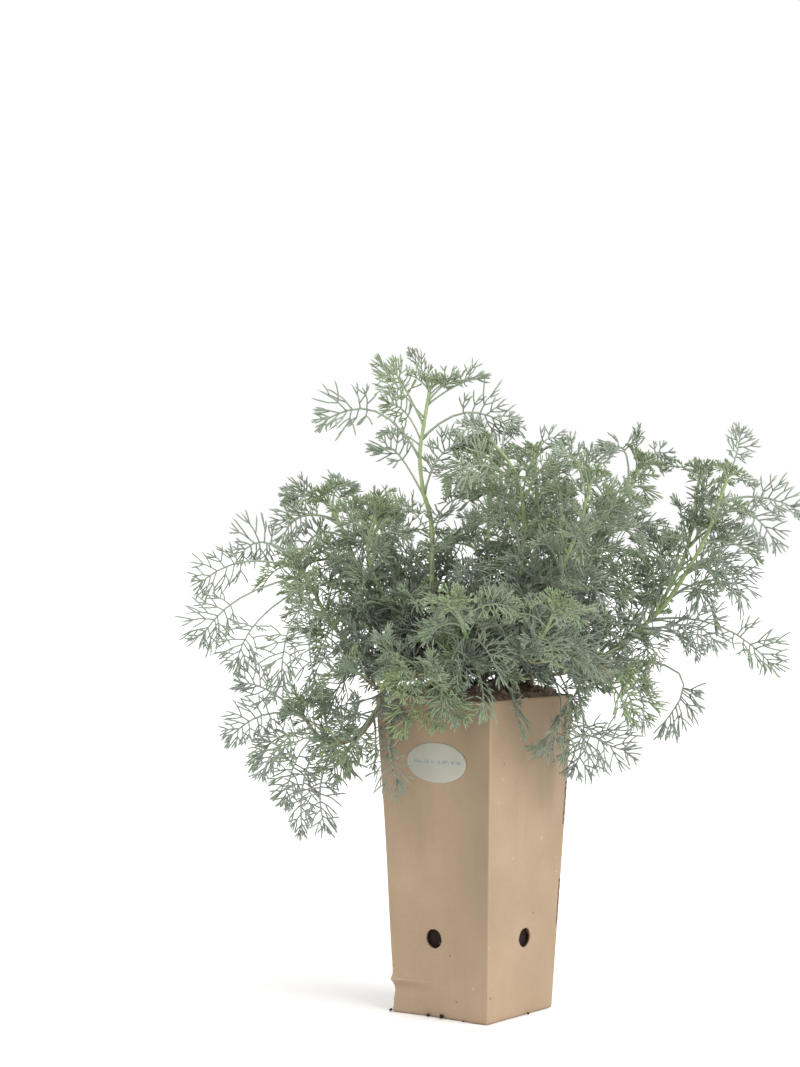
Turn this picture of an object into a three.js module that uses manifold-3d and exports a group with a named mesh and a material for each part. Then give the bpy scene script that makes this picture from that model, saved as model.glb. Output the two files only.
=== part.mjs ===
// Potted southernwood: a clump of feathery grey-green stems in a tall square pot folded from brown board.
// Millimetres, +Z up. The origin is the middle of the pot's underside, and the label is on the -Y face.
import * as THREE from "three";
import { mergeVertices } from "three/addons/utils/BufferGeometryUtils.js";
import Module from "manifold-3d";

const wasm = await Module();
wasm.setup();

// Pot, folded from one sheet of board
const POT_TOP = 90;
const POT_BOTTOM = 70;
const POT_HEIGHT = 200;
const BOARD = 1.5;
const DRAIN_DIAMETER = 12;
const DRAIN_SIDES = 16;
const DRAIN_HEIGHT = 49.5;
const DRAIN_ASIDE = -3.5;
const FLAP_WIDTH = 12;
const SLOT_DEPTH = 2.2;
const SLOT_SPANS = [[53, 82], [117, 144]];

// Label on the -Y face
const LABEL_WIDTH = 46;
const LABEL_HEIGHT = 25;
const LABEL_THICKNESS = 0.4;
const LABEL_CENTRE_HEIGHT = 160;
const LABEL_ASIDE = 2.6;

// Potting soil
const CLEARANCE = 0.3;
const SOIL_EDGE_HEIGHT = 196;
const SOIL_MOUND = 10;
const SOIL_GRID = 8;
const LUMP_HEIGHT = 0.8;
const HOLE_FLOOR = 177.4;
const HOLE_CLEARANCE = 0.5;
const HOLE_SIDES = 8;

// Stems
const STEM_FOOT = 178;
const STEM_SIDES = 5;
const STEM_TIP_RADIUS = 0.8;
const UPRIGHT_HEIGHTS = [STEM_FOOT, 194, 209];

// Leaves: one arched blade each, cut to the rib into narrow lobes
const BLADE_THICKNESS = 0.7;
const RIB_HALF_WIDTH = 0.65;
const LOBE_HALF_WIDTH = 0.85;
const LOBE_DROOP = 0.12;
const GOLDEN_ANGLE = 137.508;
const PLANT_SEED = 21;
const BEND_SEED = 101;
const LEAF_GAP = 0.4;
const LEAF_TRIES = 40;
const LARGE_LEAF = 30;
const LEAF_ROLL = 2.4;
const TIP_SHORTENING = 0.5;

// Where the stalk bends and the pairs of lobes stand along the rib, how long the lobes are beside the leaf,
// and how far they spread
const LARGE_LEAF_STALK = [0, 0.24];
const LARGE_LEAF_LOBES = [
  { along: 0.48, length: 0.31, spread: 60 },
  { along: 0.66, length: 0.3, spread: 50 },
  { along: 0.83, length: 0.22, spread: 38 },
];
const SMALL_LEAF_STALK = [0];
const SMALL_LEAF_LOBES = [
  { along: 0.5, length: 0.36, spread: 58 },
  { along: 0.76, length: 0.28, spread: 44 },
];

// Stems are laid out across the plant (right), towards the eye (near) and up, in a frame turned from the
// pot's by this angle, because the plant is looked at over the pot's near corner.
const VIEW_TURN = 38.2;

// A shoot's foot is [right, near] in the soil. Its route goes on from there as [right, near, up] points.
// Single leaves that stand out are given as [share of the route, a point half-way along, the tip].
// The others, leaf_count of them, follow the golden angle from first_leaf to the tip.
const SHOOTS = [
  {
    name: "leafy_stem_tall", foot: [-10, 4], radius: 2.2,
    route: [[-16, 5, 228], [-27, 2, 259], [-27, 0, 285], [-28, -2, 311], [-33, 0, 330], [-35, 3, 352],
      [-32, 5, 374], [-29, 5, 392]],
    leaf_count: 6, first_leaf: 0.25, leaf_length: 54,
    single_leaves: [
      [0.8, [-63, 12, 379], [-97, 18, 371]], [0.86, [-6, -4, 379], [22, -12, 370]],
      [0.92, [-48, 16, 393], [-59, 24, 407]], [0.99, [-32, -4, 403], [-42, -12, 418]],
      [0.96, [-11, 8, 396], [3, 14, 399]], [0.68, [-48, -14, 352], [-58, -22, 356]],
      [0.7, [-22, 16, 351], [-8, 24, 357]],
    ],
  },
  {
    name: "leafy_stem_centre_left", foot: [4, 10], radius: 1.9,
    route: [[14, 12, 238], [25, 16, 267], [30, 18, 295], [29, 20, 323], [22, 22, 344], [11, 25, 358]],
    leaf_count: 5, first_leaf: 0.3, leaf_length: 54,
    single_leaves: [
      [0.99, [1, 30, 368], [-12, 36, 362]], [0.95, [19, 20, 370], [28, 14, 366]],
      [0.82, [5, 40, 344], [-10, 52, 335]],
    ],
  },
  {
    name: "leafy_stem_centre", foot: [5, -8], radius: 1.8,
    route: [[22, -10, 236], [36, -14, 266], [40, -16, 298], [40, -16, 324], [39, -15, 349]],
    leaf_count: 6, first_leaf: 0.3, leaf_length: 56,
    single_leaves: [[0.98, [46, -18, 362], [59, -20, 361]]],
  },
  {
    name: "leafy_stem_centre_right", foot: [15, 15], radius: 2,
    route: [[28, 22, 226], [41, 28, 246], [49, 33, 266], [55, 36, 286], [64, 39, 308], [70, 40, 333]],
    leaf_count: 6, first_leaf: 0.28, leaf_length: 54,
    single_leaves: [[0.99, [76, 44, 346], [83, 46, 353]], [0.95, [60, 50, 346], [50, 56, 353]]],
  },
  {
    name: "leafy_stem_right_upper", foot: [16, -10], radius: 1.9,
    route: [[40, -20, 229], [64, -32, 262], [84, -40, 298], [97, -45, 323], [109, -49, 344]],
    leaf_count: 6, first_leaf: 0.3, leaf_length: 56,
    single_leaves: [[0.99, [121, -50, 355], [129, -48, 350]], [0.93, [100, -60, 358], [86, -66, 352]]],
  },
  {
    name: "leafy_stem_right_main", foot: [24, 1], radius: 2.4,
    route: [[46, 1, 217], [76, -1, 221], [100, -1, 238], [118, 1, 254], [134, 5, 278], [147, 8, 303],
      [154, 10, 323], [159, 10, 337]],
    leaf_count: 5, first_leaf: 0.3, leaf_length: 52,
    branch: { leaves_at: 0.58, route: [[134, -8, 287], [140, -16, 310], [146, -24, 339]], leaf_count: 4 },
    single_leaves: [
      [0.99, [165, 8, 352], [168, 6, 367]], [0.93, [178, 14, 325], [201, 20, 317]],
      [0.88, [170, 22, 315], [186, 34, 294]], [0.55, [153, 12, 244], [187, 22, 217]],
      [0.47, [130, 24, 245], [147, 34, 235]], [0.36, [128, 14, 214], [113, 18, 178]],
      [0.72, [154, 20, 285], [165, 30, 257]],
    ],
  },
  {
    name: "leafy_stem_right_low", foot: [27, 14], radius: 1.7,
    route: [[46, 18, 213], [62, 25, 216], [75, 32, 219], [86, 35, 214]],
    leaf_count: 3, first_leaf: 0.5, leaf_length: 42,
    single_leaves: [
      [0.75, [68, 42, 183], [94, 46, 168]], [0.6, [58, 38, 184], [36, 40, 170]],
      [0.68, [67, 27, 182], [60, 29, 154]], [0.97, [94, 33, 203], [98, 30, 183]],
      [0.55, [51, 48, 192], [38, 54, 174]],
    ],
  },
  {
    name: "leafy_stem_left_trailing", foot: [-23, 12], radius: 2.1,
    route: [[-38, 20, 214], [-55, 26, 206], [-63, 28, 190], [-73, 28, 176], [-88, 26, 171], [-100, 24, 177],
      [-108, 22, 188]],
    leaf_count: 4, first_leaf: 0.45, leaf_length: 42,
    single_leaves: [
      [0.99, [-133, 30, 189], [-155, 36, 173]], [0.97, [-130, 24, 204], [-147, 28, 208]],
      [0.94, [-122, 34, 171], [-133, 40, 152]], [0.85, [-107, 21, 152], [-109, 18, 112]],
      [0.8, [-97, 32, 146], [-93, 36, 117]], [0.9, [-113, 9, 159], [-121, 6, 130]],
      [0.42, [-55, 46, 178], [-48, 48, 146]],
    ],
  },
  {
    name: "leafy_stem_left_middle", foot: [-23, -4], radius: 2,
    route: [[-44, -10, 219], [-70, -13, 224], [-90, -10, 242], [-102, -5, 264], [-111, 0, 280]],
    leaf_count: 5, first_leaf: 0.35, leaf_length: 50,
    single_leaves: [
      [0.99, [-147, -8, 284], [-177, -14, 269]], [0.96, [-149, 8, 261], [-173, 14, 235]],
      [0.92, [-136, 22, 248], [-149, 32, 221]], [0.85, [-116, 30, 245], [-121, 40, 205]],
      [0.9, [-130, -14, 295], [-151, -30, 288]], [0.75, [-104, 24, 240], [-99, 32, 204]],
    ],
  },
  {
    name: "leafy_stem_left_upper", foot: [-16, -15], radius: 1.9,
    route: [[-42, -26, 231], [-64, -31, 256], [-76, -34, 282], [-84, -34, 303], [-94, -32, 321]],
    leaf_count: 6, first_leaf: 0.3, leaf_length: 52,
    single_leaves: [
      [0.99, [-109, -30, 330], [-122, -28, 325]], [0.93, [-111, -20, 313], [-123, -14, 298]],
      [0.85, [-101, -46, 302], [-115, -54, 284]], [0.97, [-89, -44, 332], [-81, -54, 335]],
    ],
  },
  {
    name: "leafy_stem_left_inner", foot: [-14, -6], radius: 1.8,
    route: [[-32, -6, 231], [-54, -8, 256], [-66, -11, 280], [-68, -12, 297], [-63, -12, 312]],
    leaf_count: 6, first_leaf: 0.3, leaf_length: 54, single_leaves: [],
  },
  {
    name: "leafy_stem_front_left", foot: [-8, 24], radius: 1.6,
    route: [[-13, 32, 213], [-22, 48, 216], [-32, 62, 217], [-42, 76, 214]],
    leaf_count: 4, first_leaf: 0.4, leaf_length: 44,
    single_leaves: [
      [0.75, [-22, 64, 202], [-26, 68, 184]], [0.88, [-20, 78, 204], [-10, 82, 190]],
      [0.6, [-37, 54, 202], [-45, 56, 180]],
    ],
  },
  {
    name: "leafy_stem_front_centre", foot: [2, 26], radius: 1.7,
    route: [[-1, 38, 222], [-5, 56, 234], [-10, 74, 246], [-13, 86, 256]],
    leaf_count: 6, first_leaf: 0.35, leaf_length: 48,
    single_leaves: [[0.6, [2, 70, 210], [2, 76, 194]], [0.75, [-18, 74, 222], [-24, 84, 196]]],
  },
  {
    name: "leafy_stem_front_right", foot: [13, 27], radius: 1.7,
    route: [[17, 38, 217], [28, 60, 228], [38, 76, 240], [44, 88, 254]],
    leaf_count: 6, first_leaf: 0.35, leaf_length: 50, single_leaves: [],
  },
  {
    name: "leafy_stem_back_left", foot: [-6, -25], radius: 1.8,
    route: [[-22, -46, 232], [-42, -70, 262], [-56, -90, 290], [-63, -100, 316]],
    leaf_count: 6, first_leaf: 0.3, leaf_length: 56, single_leaves: [],
  },
  {
    name: "leafy_stem_back_centre", foot: [5, -20], radius: 1.9,
    route: [[7, -42, 236], [10, -70, 274], [12, -85, 308], [12, -92, 340]],
    leaf_count: 6, first_leaf: 0.3, leaf_length: 58, single_leaves: [],
  },
  {
    name: "leafy_stem_back_right", foot: [15, -23], radius: 1.8,
    route: [[32, -48, 232], [56, -76, 260], [78, -94, 286], [92, -104, 312]],
    leaf_count: 6, first_leaf: 0.3, leaf_length: 56, single_leaves: [],
  },
];

const board = new THREE.MeshStandardMaterial({ color: 0xb0906a, roughness: 0.9, metalness: 0 });
const paper = new THREE.MeshStandardMaterial({ color: 0xc3c4b2, roughness: 0.7, metalness: 0 });
const soilMix = new THREE.MeshStandardMaterial({ color: 0x3b2a1e, roughness: 1, metalness: 0 });
const foliage = new THREE.MeshStandardMaterial({ color: 0x6e8a70, roughness: 0.75, metalness: 0 });

const UP = new THREE.Vector3(0, 0, 1);

// Solids from closed geometries, and back

function solidFrom(geometry) {
  const bare = geometry.clone();
  bare.deleteAttribute("normal");
  bare.deleteAttribute("uv");
  const merged = mergeVertices(bare, 1e-4);
  return new wasm.Manifold(new wasm.Mesh({
    numProp: 3,
    vertProperties: new Float32Array(merged.attributes.position.array),
    triVerts: new Uint32Array(merged.index.array),
  }));
}

function geometryFrom(solid) {
  const mesh = solid.getMesh();
  const geometry = new THREE.BufferGeometry();
  geometry.setAttribute("position", new THREE.BufferAttribute(new Float32Array(mesh.vertProperties), 3));
  geometry.setIndex(new THREE.BufferAttribute(new Uint32Array(mesh.triVerts), 1));
  geometry.computeVertexNormals();
  return geometry;
}

function largestBody(solid) {
  const bodies = solid.decompose();
  return bodies.reduce((largest, body) => (body.volume() > largest.volume() ? body : largest));
}

function potHalfWidth(height) {
  return THREE.MathUtils.lerp(POT_BOTTOM, POT_TOP, height / POT_HEIGHT) / 2;
}

// A square block that tapers like the pot, lying inside its outer faces by the given inset
function taperedBlock(inset, from, to) {
  const topRadius = (potHalfWidth(to) - inset) * Math.SQRT2;
  const bottomRadius = (potHalfWidth(from) - inset) * Math.SQRT2;
  return new THREE.CylinderGeometry(topRadius, bottomRadius, to - from, 4)
    .rotateY(Math.PI / 4)
    .rotateX(Math.PI / 2)
    .translate(0, 0, (from + to) / 2);
}

// The glued flap, one more layer of board behind the +X wall at its +Y fold, which starts inside the wall
function flapBlock(depth, width, from, to) {
  const strip = new THREE.BoxGeometry(depth, width, to - from);
  const places = strip.attributes.position;
  for (let i = 0; i < places.count; i++) {
    const height = places.getZ(i) > 0 ? to : from;
    const wallFace = potHalfWidth(height) - BOARD / 2;
    places.setXYZ(i, places.getX(i) + wallFace - depth / 2, places.getY(i) + wallFace - width / 2, height);
  }
  return strip;
}

function slotCutter([from, to]) {
  const reach = 6;
  const cutter = new THREE.BoxGeometry(reach, reach, to - from);
  const places = cutter.attributes.position;
  for (let i = 0; i < places.count; i++) {
    const height = places.getZ(i) > 0 ? to : from;
    const inside = potHalfWidth(height) - SLOT_DEPTH;
    places.setXYZ(i, places.getX(i) + inside + reach / 2, places.getY(i) + inside + reach / 2, height);
  }
  return cutter;
}

function cardboardPot() {
  let pot = solidFrom(taperedBlock(0, 0, POT_HEIGHT))
    .subtract(solidFrom(taperedBlock(BOARD, BOARD, POT_HEIGHT + 5)));
  pot = pot.add(solidFrom(flapBlock(1.5 * BOARD, FLAP_WIDTH, BOARD / 2, POT_HEIGHT)));
  const radius = DRAIN_DIAMETER / 2;
  for (const { turn, aside } of [{ turn: 0, aside: DRAIN_ASIDE }, { turn: Math.PI / 2, aside: 0 }]) {
    const drill = new THREE.CylinderGeometry(radius, radius, POT_TOP * 1.5, DRAIN_SIDES)
      .rotateZ(turn)
      .translate(aside, 0, DRAIN_HEIGHT);
    pot = pot.subtract(solidFrom(drill));
  }
  for (const span of SLOT_SPANS) {
    pot = pot.subtract(solidFrom(slotCutter(span)));
  }
  return new THREE.Mesh(geometryFrom(pot), board);
}

function plantLabel() {
  const outline = new THREE.Shape().absellipse(0, 0, LABEL_WIDTH / 2, LABEL_HEIGHT / 2, 0, Math.PI * 2);
  const sheet = new THREE.ExtrudeGeometry(outline, {
    depth: LABEL_THICKNESS, bevelEnabled: false, curveSegments: 12,
  });
  const lean = Math.atan2((POT_TOP - POT_BOTTOM) / 2, POT_HEIGHT);
  const label = new THREE.Mesh(sheet, paper);
  label.rotation.x = Math.PI / 2 + lean;
  label.position.set(LABEL_ASIDE, -potHalfWidth(LABEL_CENTRE_HEIGHT) - CLEARANCE, LABEL_CENTRE_HEIGHT);
  return label;
}

// Soil

function soilHeight(x, y) {
  const half = potHalfWidth(SOIL_EDGE_HEIGHT);
  const flatness = (1 - (x / half) ** 6) * (1 - (y / half) ** 6);
  const lumps = LUMP_HEIGHT * Math.sin(x * 0.41 + 1) * Math.sin(y * 0.37 + 2);
  return SOIL_EDGE_HEIGHT + Math.max(0, flatness) * (SOIL_MOUND + lumps);
}

function stemHole(shoot) {
  const radius = shoot.radius + HOLE_CLEARANCE;
  const height = POT_HEIGHT + 20 - HOLE_FLOOR;
  const [x, y] = potFrame([...shoot.foot, 0]).toArray();
  return new THREE.CylinderGeometry(radius, radius, height, HOLE_SIDES)
    .rotateX(Math.PI / 2)
    .translate(x, y, HOLE_FLOOR + height / 2);
}

function pottingSoil() {
  const block = new THREE.BoxGeometry(2, 2, 1, SOIL_GRID, SOIL_GRID, 1);
  const places = block.attributes.position;
  const floor = BOARD + CLEARANCE;
  const inset = BOARD + CLEARANCE;
  for (let i = 0; i < places.count; i++) {
    const top = places.getZ(i) > 0;
    const half = potHalfWidth(top ? SOIL_EDGE_HEIGHT : floor) - inset;
    const x = places.getX(i) * half;
    const y = places.getY(i) * half;
    places.setXYZ(i, x, y, top ? soilHeight(x, y) : floor);
  }
  let soil = solidFrom(block);
  const flapRoom = flapBlock(1.5 * BOARD + CLEARANCE, FLAP_WIDTH + CLEARANCE, 0, POT_HEIGHT);
  soil = soil.subtract(solidFrom(flapRoom));
  for (const shoot of SHOOTS) {
    soil = soil.subtract(solidFrom(stemHole(shoot)));
  }
  return new THREE.Mesh(geometryFrom(soil), soilMix);
}

// Stems

function potFrame([right, near, up]) {
  const turn = THREE.MathUtils.degToRad(VIEW_TURN);
  const x = right * Math.cos(turn) + near * Math.sin(turn);
  const y = right * Math.sin(turn) - near * Math.cos(turn);
  return new THREE.Vector3(x, y, up);
}

function shootRoute(shoot) {
  const upright = UPRIGHT_HEIGHTS.map((height) => potFrame([...shoot.foot, height]));
  return [...upright, ...shoot.route.map(potFrame)];
}

function routeLengths(route) {
  const lengths = [0];
  for (let i = 1; i < route.length; i++) {
    lengths.push(lengths[i - 1] + route[i].distanceTo(route[i - 1]));
  }
  return lengths;
}

// The point and the direction at a share of the route's length
function pointAlong(route, share) {
  const lengths = routeLengths(route);
  const wanted = share * lengths[lengths.length - 1];
  let i = 1;
  while (i < route.length - 1 && lengths[i] < wanted) i++;
  const step = (wanted - lengths[i - 1]) / (lengths[i] - lengths[i - 1]);
  return {
    point: route[i - 1].clone().lerp(route[i], step),
    direction: route[i].clone().sub(route[i - 1]).normalize(),
  };
}

function anySideways(direction) {
  const reference = Math.abs(direction.z) < 0.9 ? UP : new THREE.Vector3(1, 0, 0);
  return direction.clone().cross(reference).normalize();
}

function stemRadius(share, footRadius) {
  return THREE.MathUtils.lerp(footRadius, STEM_TIP_RADIUS, share);
}

function stemGeometry(route, footRadius) {
  const lengths = routeLengths(route);
  const positions = [];
  const triangles = [];
  let side = null;
  route.forEach((point, i) => {
    const before = route[Math.max(0, i - 1)];
    const after = route[Math.min(route.length - 1, i + 1)];
    const direction = after.clone().sub(before).normalize();
    side = side ? side.addScaledVector(direction, -side.dot(direction)).normalize() : anySideways(direction);
    const other = direction.clone().cross(side);
    const radius = stemRadius(lengths[i] / lengths[lengths.length - 1], footRadius);
    for (let k = 0; k < STEM_SIDES; k++) {
      const angle = (k * 2 * Math.PI) / STEM_SIDES;
      const corner = point.clone()
        .addScaledVector(side, radius * Math.cos(angle))
        .addScaledVector(other, radius * Math.sin(angle));
      positions.push(...corner.toArray());
    }
  });
  for (let i = 1; i < route.length; i++) {
    for (let k = 0; k < STEM_SIDES; k++) {
      const next = (k + 1) % STEM_SIDES;
      const low = (i - 1) * STEM_SIDES;
      const high = i * STEM_SIDES;
      triangles.push(low + k, low + next, high + next, low + k, high + next, high + k);
    }
  }
  const last = (route.length - 1) * STEM_SIDES;
  for (let k = 1; k < STEM_SIDES - 1; k++) {
    triangles.push(0, k + 1, k, last, last + k, last + k + 1);
  }
  return closedGeometry(positions, triangles);
}

function closedGeometry(positions, triangles) {
  const geometry = new THREE.BufferGeometry();
  geometry.setAttribute("position", new THREE.Float32BufferAttribute(positions, 3));
  geometry.setIndex(triangles);
  return geometry;
}

// Leaves

function leafPlan(base, middle, tip, roll) {
  const control = middle.clone().multiplyScalar(2).addScaledVector(base, -0.5).addScaledVector(tip, -0.5);
  const rib = new THREE.QuadraticBezierCurve3(base, control, tip);
  const length = base.distanceTo(middle) + middle.distanceTo(tip);
  const chord = tip.clone().sub(base).normalize();
  const left = middle.clone().sub(base).cross(tip.clone().sub(middle)).normalize();
  left.applyAxisAngle(chord, roll);
  const large = length > LARGE_LEAF;
  const stalk = large ? LARGE_LEAF_STALK : SMALL_LEAF_STALK;
  const lobes = large ? LARGE_LEAF_LOBES : SMALL_LEAF_LOBES;
  return { rib, length, left, stalk, lobes };
}

function lobeTip(plan, lobe, handSide) {
  const angle = THREE.MathUtils.degToRad(lobe.spread);
  const reach = lobe.length * plan.length;
  return plan.rib.getPoint(lobe.along)
    .addScaledVector(plan.rib.getTangent(lobe.along), reach * Math.cos(angle))
    .addScaledVector(plan.left, handSide * reach * Math.sin(angle))
    .addScaledVector(UP, -LOBE_DROOP * reach);
}

// The centre lines of the rib and the lobes, which keep clear of the other stems
function leafLines(plan) {
  const shares = [...plan.stalk, ...plan.lobes.map((lobe) => lobe.along), 1];
  const ribPoints = shares.map((share) => plan.rib.getPoint(share));
  const lines = ribPoints.slice(1).map((point, i) => [ribPoints[i], point]);
  for (const lobe of plan.lobes) {
    for (const handSide of [1, -1]) {
      lines.push([plan.rib.getPoint(lobe.along), lobeTip(plan, lobe, handSide)]);
    }
  }
  return lines;
}

// A blade with its lobes, split into triangles alike on both faces
function leafGeometry(plan) {
  const halfCut = LOBE_HALF_WIDTH / plan.length;
  const cuts = plan.lobes.flatMap((lobe) => [lobe.along - halfCut, lobe.along + halfCut]);
  const shares = [...plan.stalk, ...cuts];
  const points = [];
  const normals = [];
  const faces = [];
  const addPoint = (point, share) => {
    points.push(point);
    normals.push(plan.rib.getTangent(share).cross(plan.left).normalize());
    return points.length - 1;
  };
  const ribPoint = (share, handSide) =>
    addPoint(plan.rib.getPoint(share).addScaledVector(plan.left, handSide * RIB_HALF_WIDTH), share);
  const lefts = shares.map((share) => ribPoint(share, 1));
  const rights = shares.map((share) => ribPoint(share, -1));
  const end = addPoint(plan.rib.getPoint(1), 1);
  const lobeTips = plan.lobes.map((lobe) => ({
    left: addPoint(lobeTip(plan, lobe, 1), lobe.along),
    right: addPoint(lobeTip(plan, lobe, -1), lobe.along),
  }));
  for (let i = 1; i < shares.length; i++) {
    faces.push([rights[i - 1], rights[i], lefts[i]], [rights[i - 1], lefts[i], lefts[i - 1]]);
  }
  faces.push([rights[shares.length - 1], end, lefts[shares.length - 1]]);
  const firstCut = plan.stalk.length;
  const rightEdge = rights.slice(0, firstCut);
  const leftEdge = lefts.slice(0, firstCut);
  plan.lobes.forEach((lobe, i) => {
    const start = firstCut + 2 * i;
    faces.push([rights[start], lobeTips[i].right, rights[start + 1]]);
    faces.push([lefts[start + 1], lobeTips[i].left, lefts[start]]);
    rightEdge.push(rights[start], lobeTips[i].right, rights[start + 1]);
    leftEdge.push(lefts[start], lobeTips[i].left, lefts[start + 1]);
  });
  const edge = [...rightEdge, end, ...leftEdge.reverse()];
  const positions = [];
  for (const face of [0.5, -0.5]) {
    points.forEach((point, i) => {
      positions.push(...point.clone().addScaledVector(normals[i], face * BLADE_THICKNESS).toArray());
    });
  }
  const under = points.length;
  const triangles = faces.flatMap(([a, b, c]) => [a, b, c, under + a, under + c, under + b]);
  edge.forEach((a, i) => {
    const b = edge[(i + 1) % edge.length];
    triangles.push(under + a, under + b, b, under + a, b, a);
  });
  return closedGeometry(positions, triangles);
}

// Repeatable draws between 0 and 1
function randomSource(seed) {
  let state = seed >>> 0;
  return () => {
    state = (Math.imul(state, 1664525) + 1013904223) >>> 0;
    return state / 4294967296;
  };
}

function lineDistance([a, b], [c, d]) {
  const u = b.clone().sub(a);
  const v = d.clone().sub(c);
  const w = a.clone().sub(c);
  const uu = u.dot(u);
  const uv = u.dot(v);
  const vv = v.dot(v);
  const uw = u.dot(w);
  const vw = v.dot(w);
  const spread = uu * vv - uv * uv;
  const clamp = (value) => Math.min(1, Math.max(0, value));
  let s = spread > 1e-9 ? clamp((uv * vw - vv * uw) / spread) : 0;
  const t = clamp((uv * s + vw) / vv);
  s = clamp((uv * t - uw) / uu);
  return w.addScaledVector(u, s).addScaledVector(v, -t).length();
}

// How far a leaf's lines stay from the pot and the soil: below zero when they would touch
function potClearance(lines) {
  let least = Infinity;
  for (const [a, b] of lines) {
    for (const share of [0.5, 1]) {
      const point = a.clone().lerp(b, share);
      const sideways = Math.max(Math.abs(point.x), Math.abs(point.y));
      const beside = sideways - potHalfWidth(Math.min(point.z, POT_HEIGHT));
      const above = point.z - Math.max(POT_HEIGHT, SOIL_EDGE_HEIGHT + SOIL_MOUND);
      least = Math.min(least, Math.max(beside, above) - 2 * RIB_HALF_WIDTH);
    }
  }
  return least;
}

function otherClearance(lines, taken, owner) {
  let least = Infinity;
  for (const other of taken) {
    if (other.owner === owner) continue;
    for (const line of lines) {
      least = Math.min(least, lineDistance(line, other.line) - other.radius - LOBE_HALF_WIDTH);
    }
  }
  return least;
}

// Bends a leaf's middle and tip a little further with each try, until it is clear of everything else
function clearLeaf({ base, middle, tip, roll }, taken, owner, random) {
  let best = null;
  for (let attempt = 0; attempt < LEAF_TRIES; attempt++) {
    const bend = attempt * 0.9;
    const shift = new THREE.Vector3(random() - 0.5, random() - 0.5, random() - 0.5).multiplyScalar(bend);
    const plan = leafPlan(base, middle.clone().addScaledVector(shift, 0.8), tip.clone().add(shift), roll);
    const lines = leafLines(plan);
    const clearance = Math.min(potClearance(lines.slice(1)), otherClearance(lines, taken, owner));
    if (!best || clearance > best.clearance) best = { plan, lines, clearance };
    if (clearance > LEAF_GAP) break;
  }
  return best;
}

function leafRoll(random) {
  return (random() - 0.5) * LEAF_ROLL;
}

function seededLeaf(route, share, turn, length, random) {
  const { point, direction } = pointAlong(route, share);
  const side = anySideways(direction);
  const other = direction.clone().cross(side);
  const angle = THREE.MathUtils.degToRad(turn);
  const lift = THREE.MathUtils.degToRad(20 + 40 * random());
  const outwards = side.multiplyScalar(Math.cos(angle)).addScaledVector(other, Math.sin(angle));
  const heading = outwards.multiplyScalar(Math.cos(lift)).addScaledVector(direction, Math.sin(lift));
  const tip = point.clone().addScaledVector(heading, length);
  tip.z -= (0.1 + 0.25 * random()) * length;
  const middle = point.clone().add(tip).multiplyScalar(0.5);
  middle.z += (0.12 + 0.1 * random()) * length;
  return { base: point, middle, tip, roll: leafRoll(random) };
}

function wantedLeaves(shoot, routes, random) {
  const leaves = shoot.single_leaves.map(([share, middle, tip]) => ({
    base: pointAlong(routes[0], share).point,
    middle: potFrame(middle),
    tip: potFrame(tip),
    roll: leafRoll(random),
  }));
  const runs = [{ route: routes[0], count: shoot.leaf_count, first: shoot.first_leaf }];
  if (shoot.branch) runs.push({ route: routes[1], count: shoot.branch.leaf_count, first: 0.3 });
  for (const run of runs) {
    const start = 360 * random();
    for (let i = 0; i < run.count; i++) {
      const share = THREE.MathUtils.lerp(run.first, 0.985, i / (run.count - 1));
      const length = shoot.leaf_length * (0.8 + 0.35 * random()) * (1 - TIP_SHORTENING * share);
      leaves.push(seededLeaf(run.route, share, start + i * GOLDEN_ANGLE, length, random));
    }
  }
  return leaves;
}

function shootRoutes(shoot) {
  const main = shootRoute(shoot);
  if (!shoot.branch) return [main];
  return [main, [pointAlong(main, shoot.branch.leaves_at).point, ...shoot.branch.route.map(potFrame)]];
}

function leafyStems() {
  const plants = SHOOTS.map((shoot) => ({ shoot, routes: shootRoutes(shoot) }));
  const taken = [];
  for (const { shoot, routes } of plants) {
    for (const route of routes) {
      route.slice(1).forEach((point, i) => {
        taken.push({ owner: shoot.name, line: [route[i], point], radius: shoot.radius });
      });
    }
  }
  return plants.map(({ shoot, routes }, number) => {
    const bends = randomSource(BEND_SEED + number);
    let solid = solidFrom(stemGeometry(routes[0], shoot.radius));
    for (const branch of routes.slice(1)) {
      solid = solid.add(solidFrom(stemGeometry(branch, shoot.radius * 0.55)));
    }
    for (const wanted of wantedLeaves(shoot, routes, randomSource(PLANT_SEED + number))) {
      const leaf = clearLeaf(wanted, taken, shoot.name, bends);
      if (leaf.clearance < 0) continue;
      solid = solid.add(solidFrom(leafGeometry(leaf.plan)));
      for (const line of leaf.lines) taken.push({ owner: shoot.name, line, radius: LOBE_HALF_WIDTH });
    }
    const stem = new THREE.Mesh(geometryFrom(largestBody(solid)), foliage);
    stem.name = shoot.name;
    return stem;
  });
}

const southernwood = new THREE.Group();
const pot = cardboardPot();
pot.name = "cardboard_pot";
const label = plantLabel();
label.name = "plant_label";
const soil = pottingSoil();
soil.name = "potting_soil";
southernwood.add(pot, label, soil, ...leafyStems());

export default southernwood;
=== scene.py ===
# Potted southernwood: feathery grey-green stems in soil, in a tall square pot folded from brown board.
# The object is laid out in millimetres in the part's own frame, and becomes metres as each mesh is made.
import math

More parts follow.
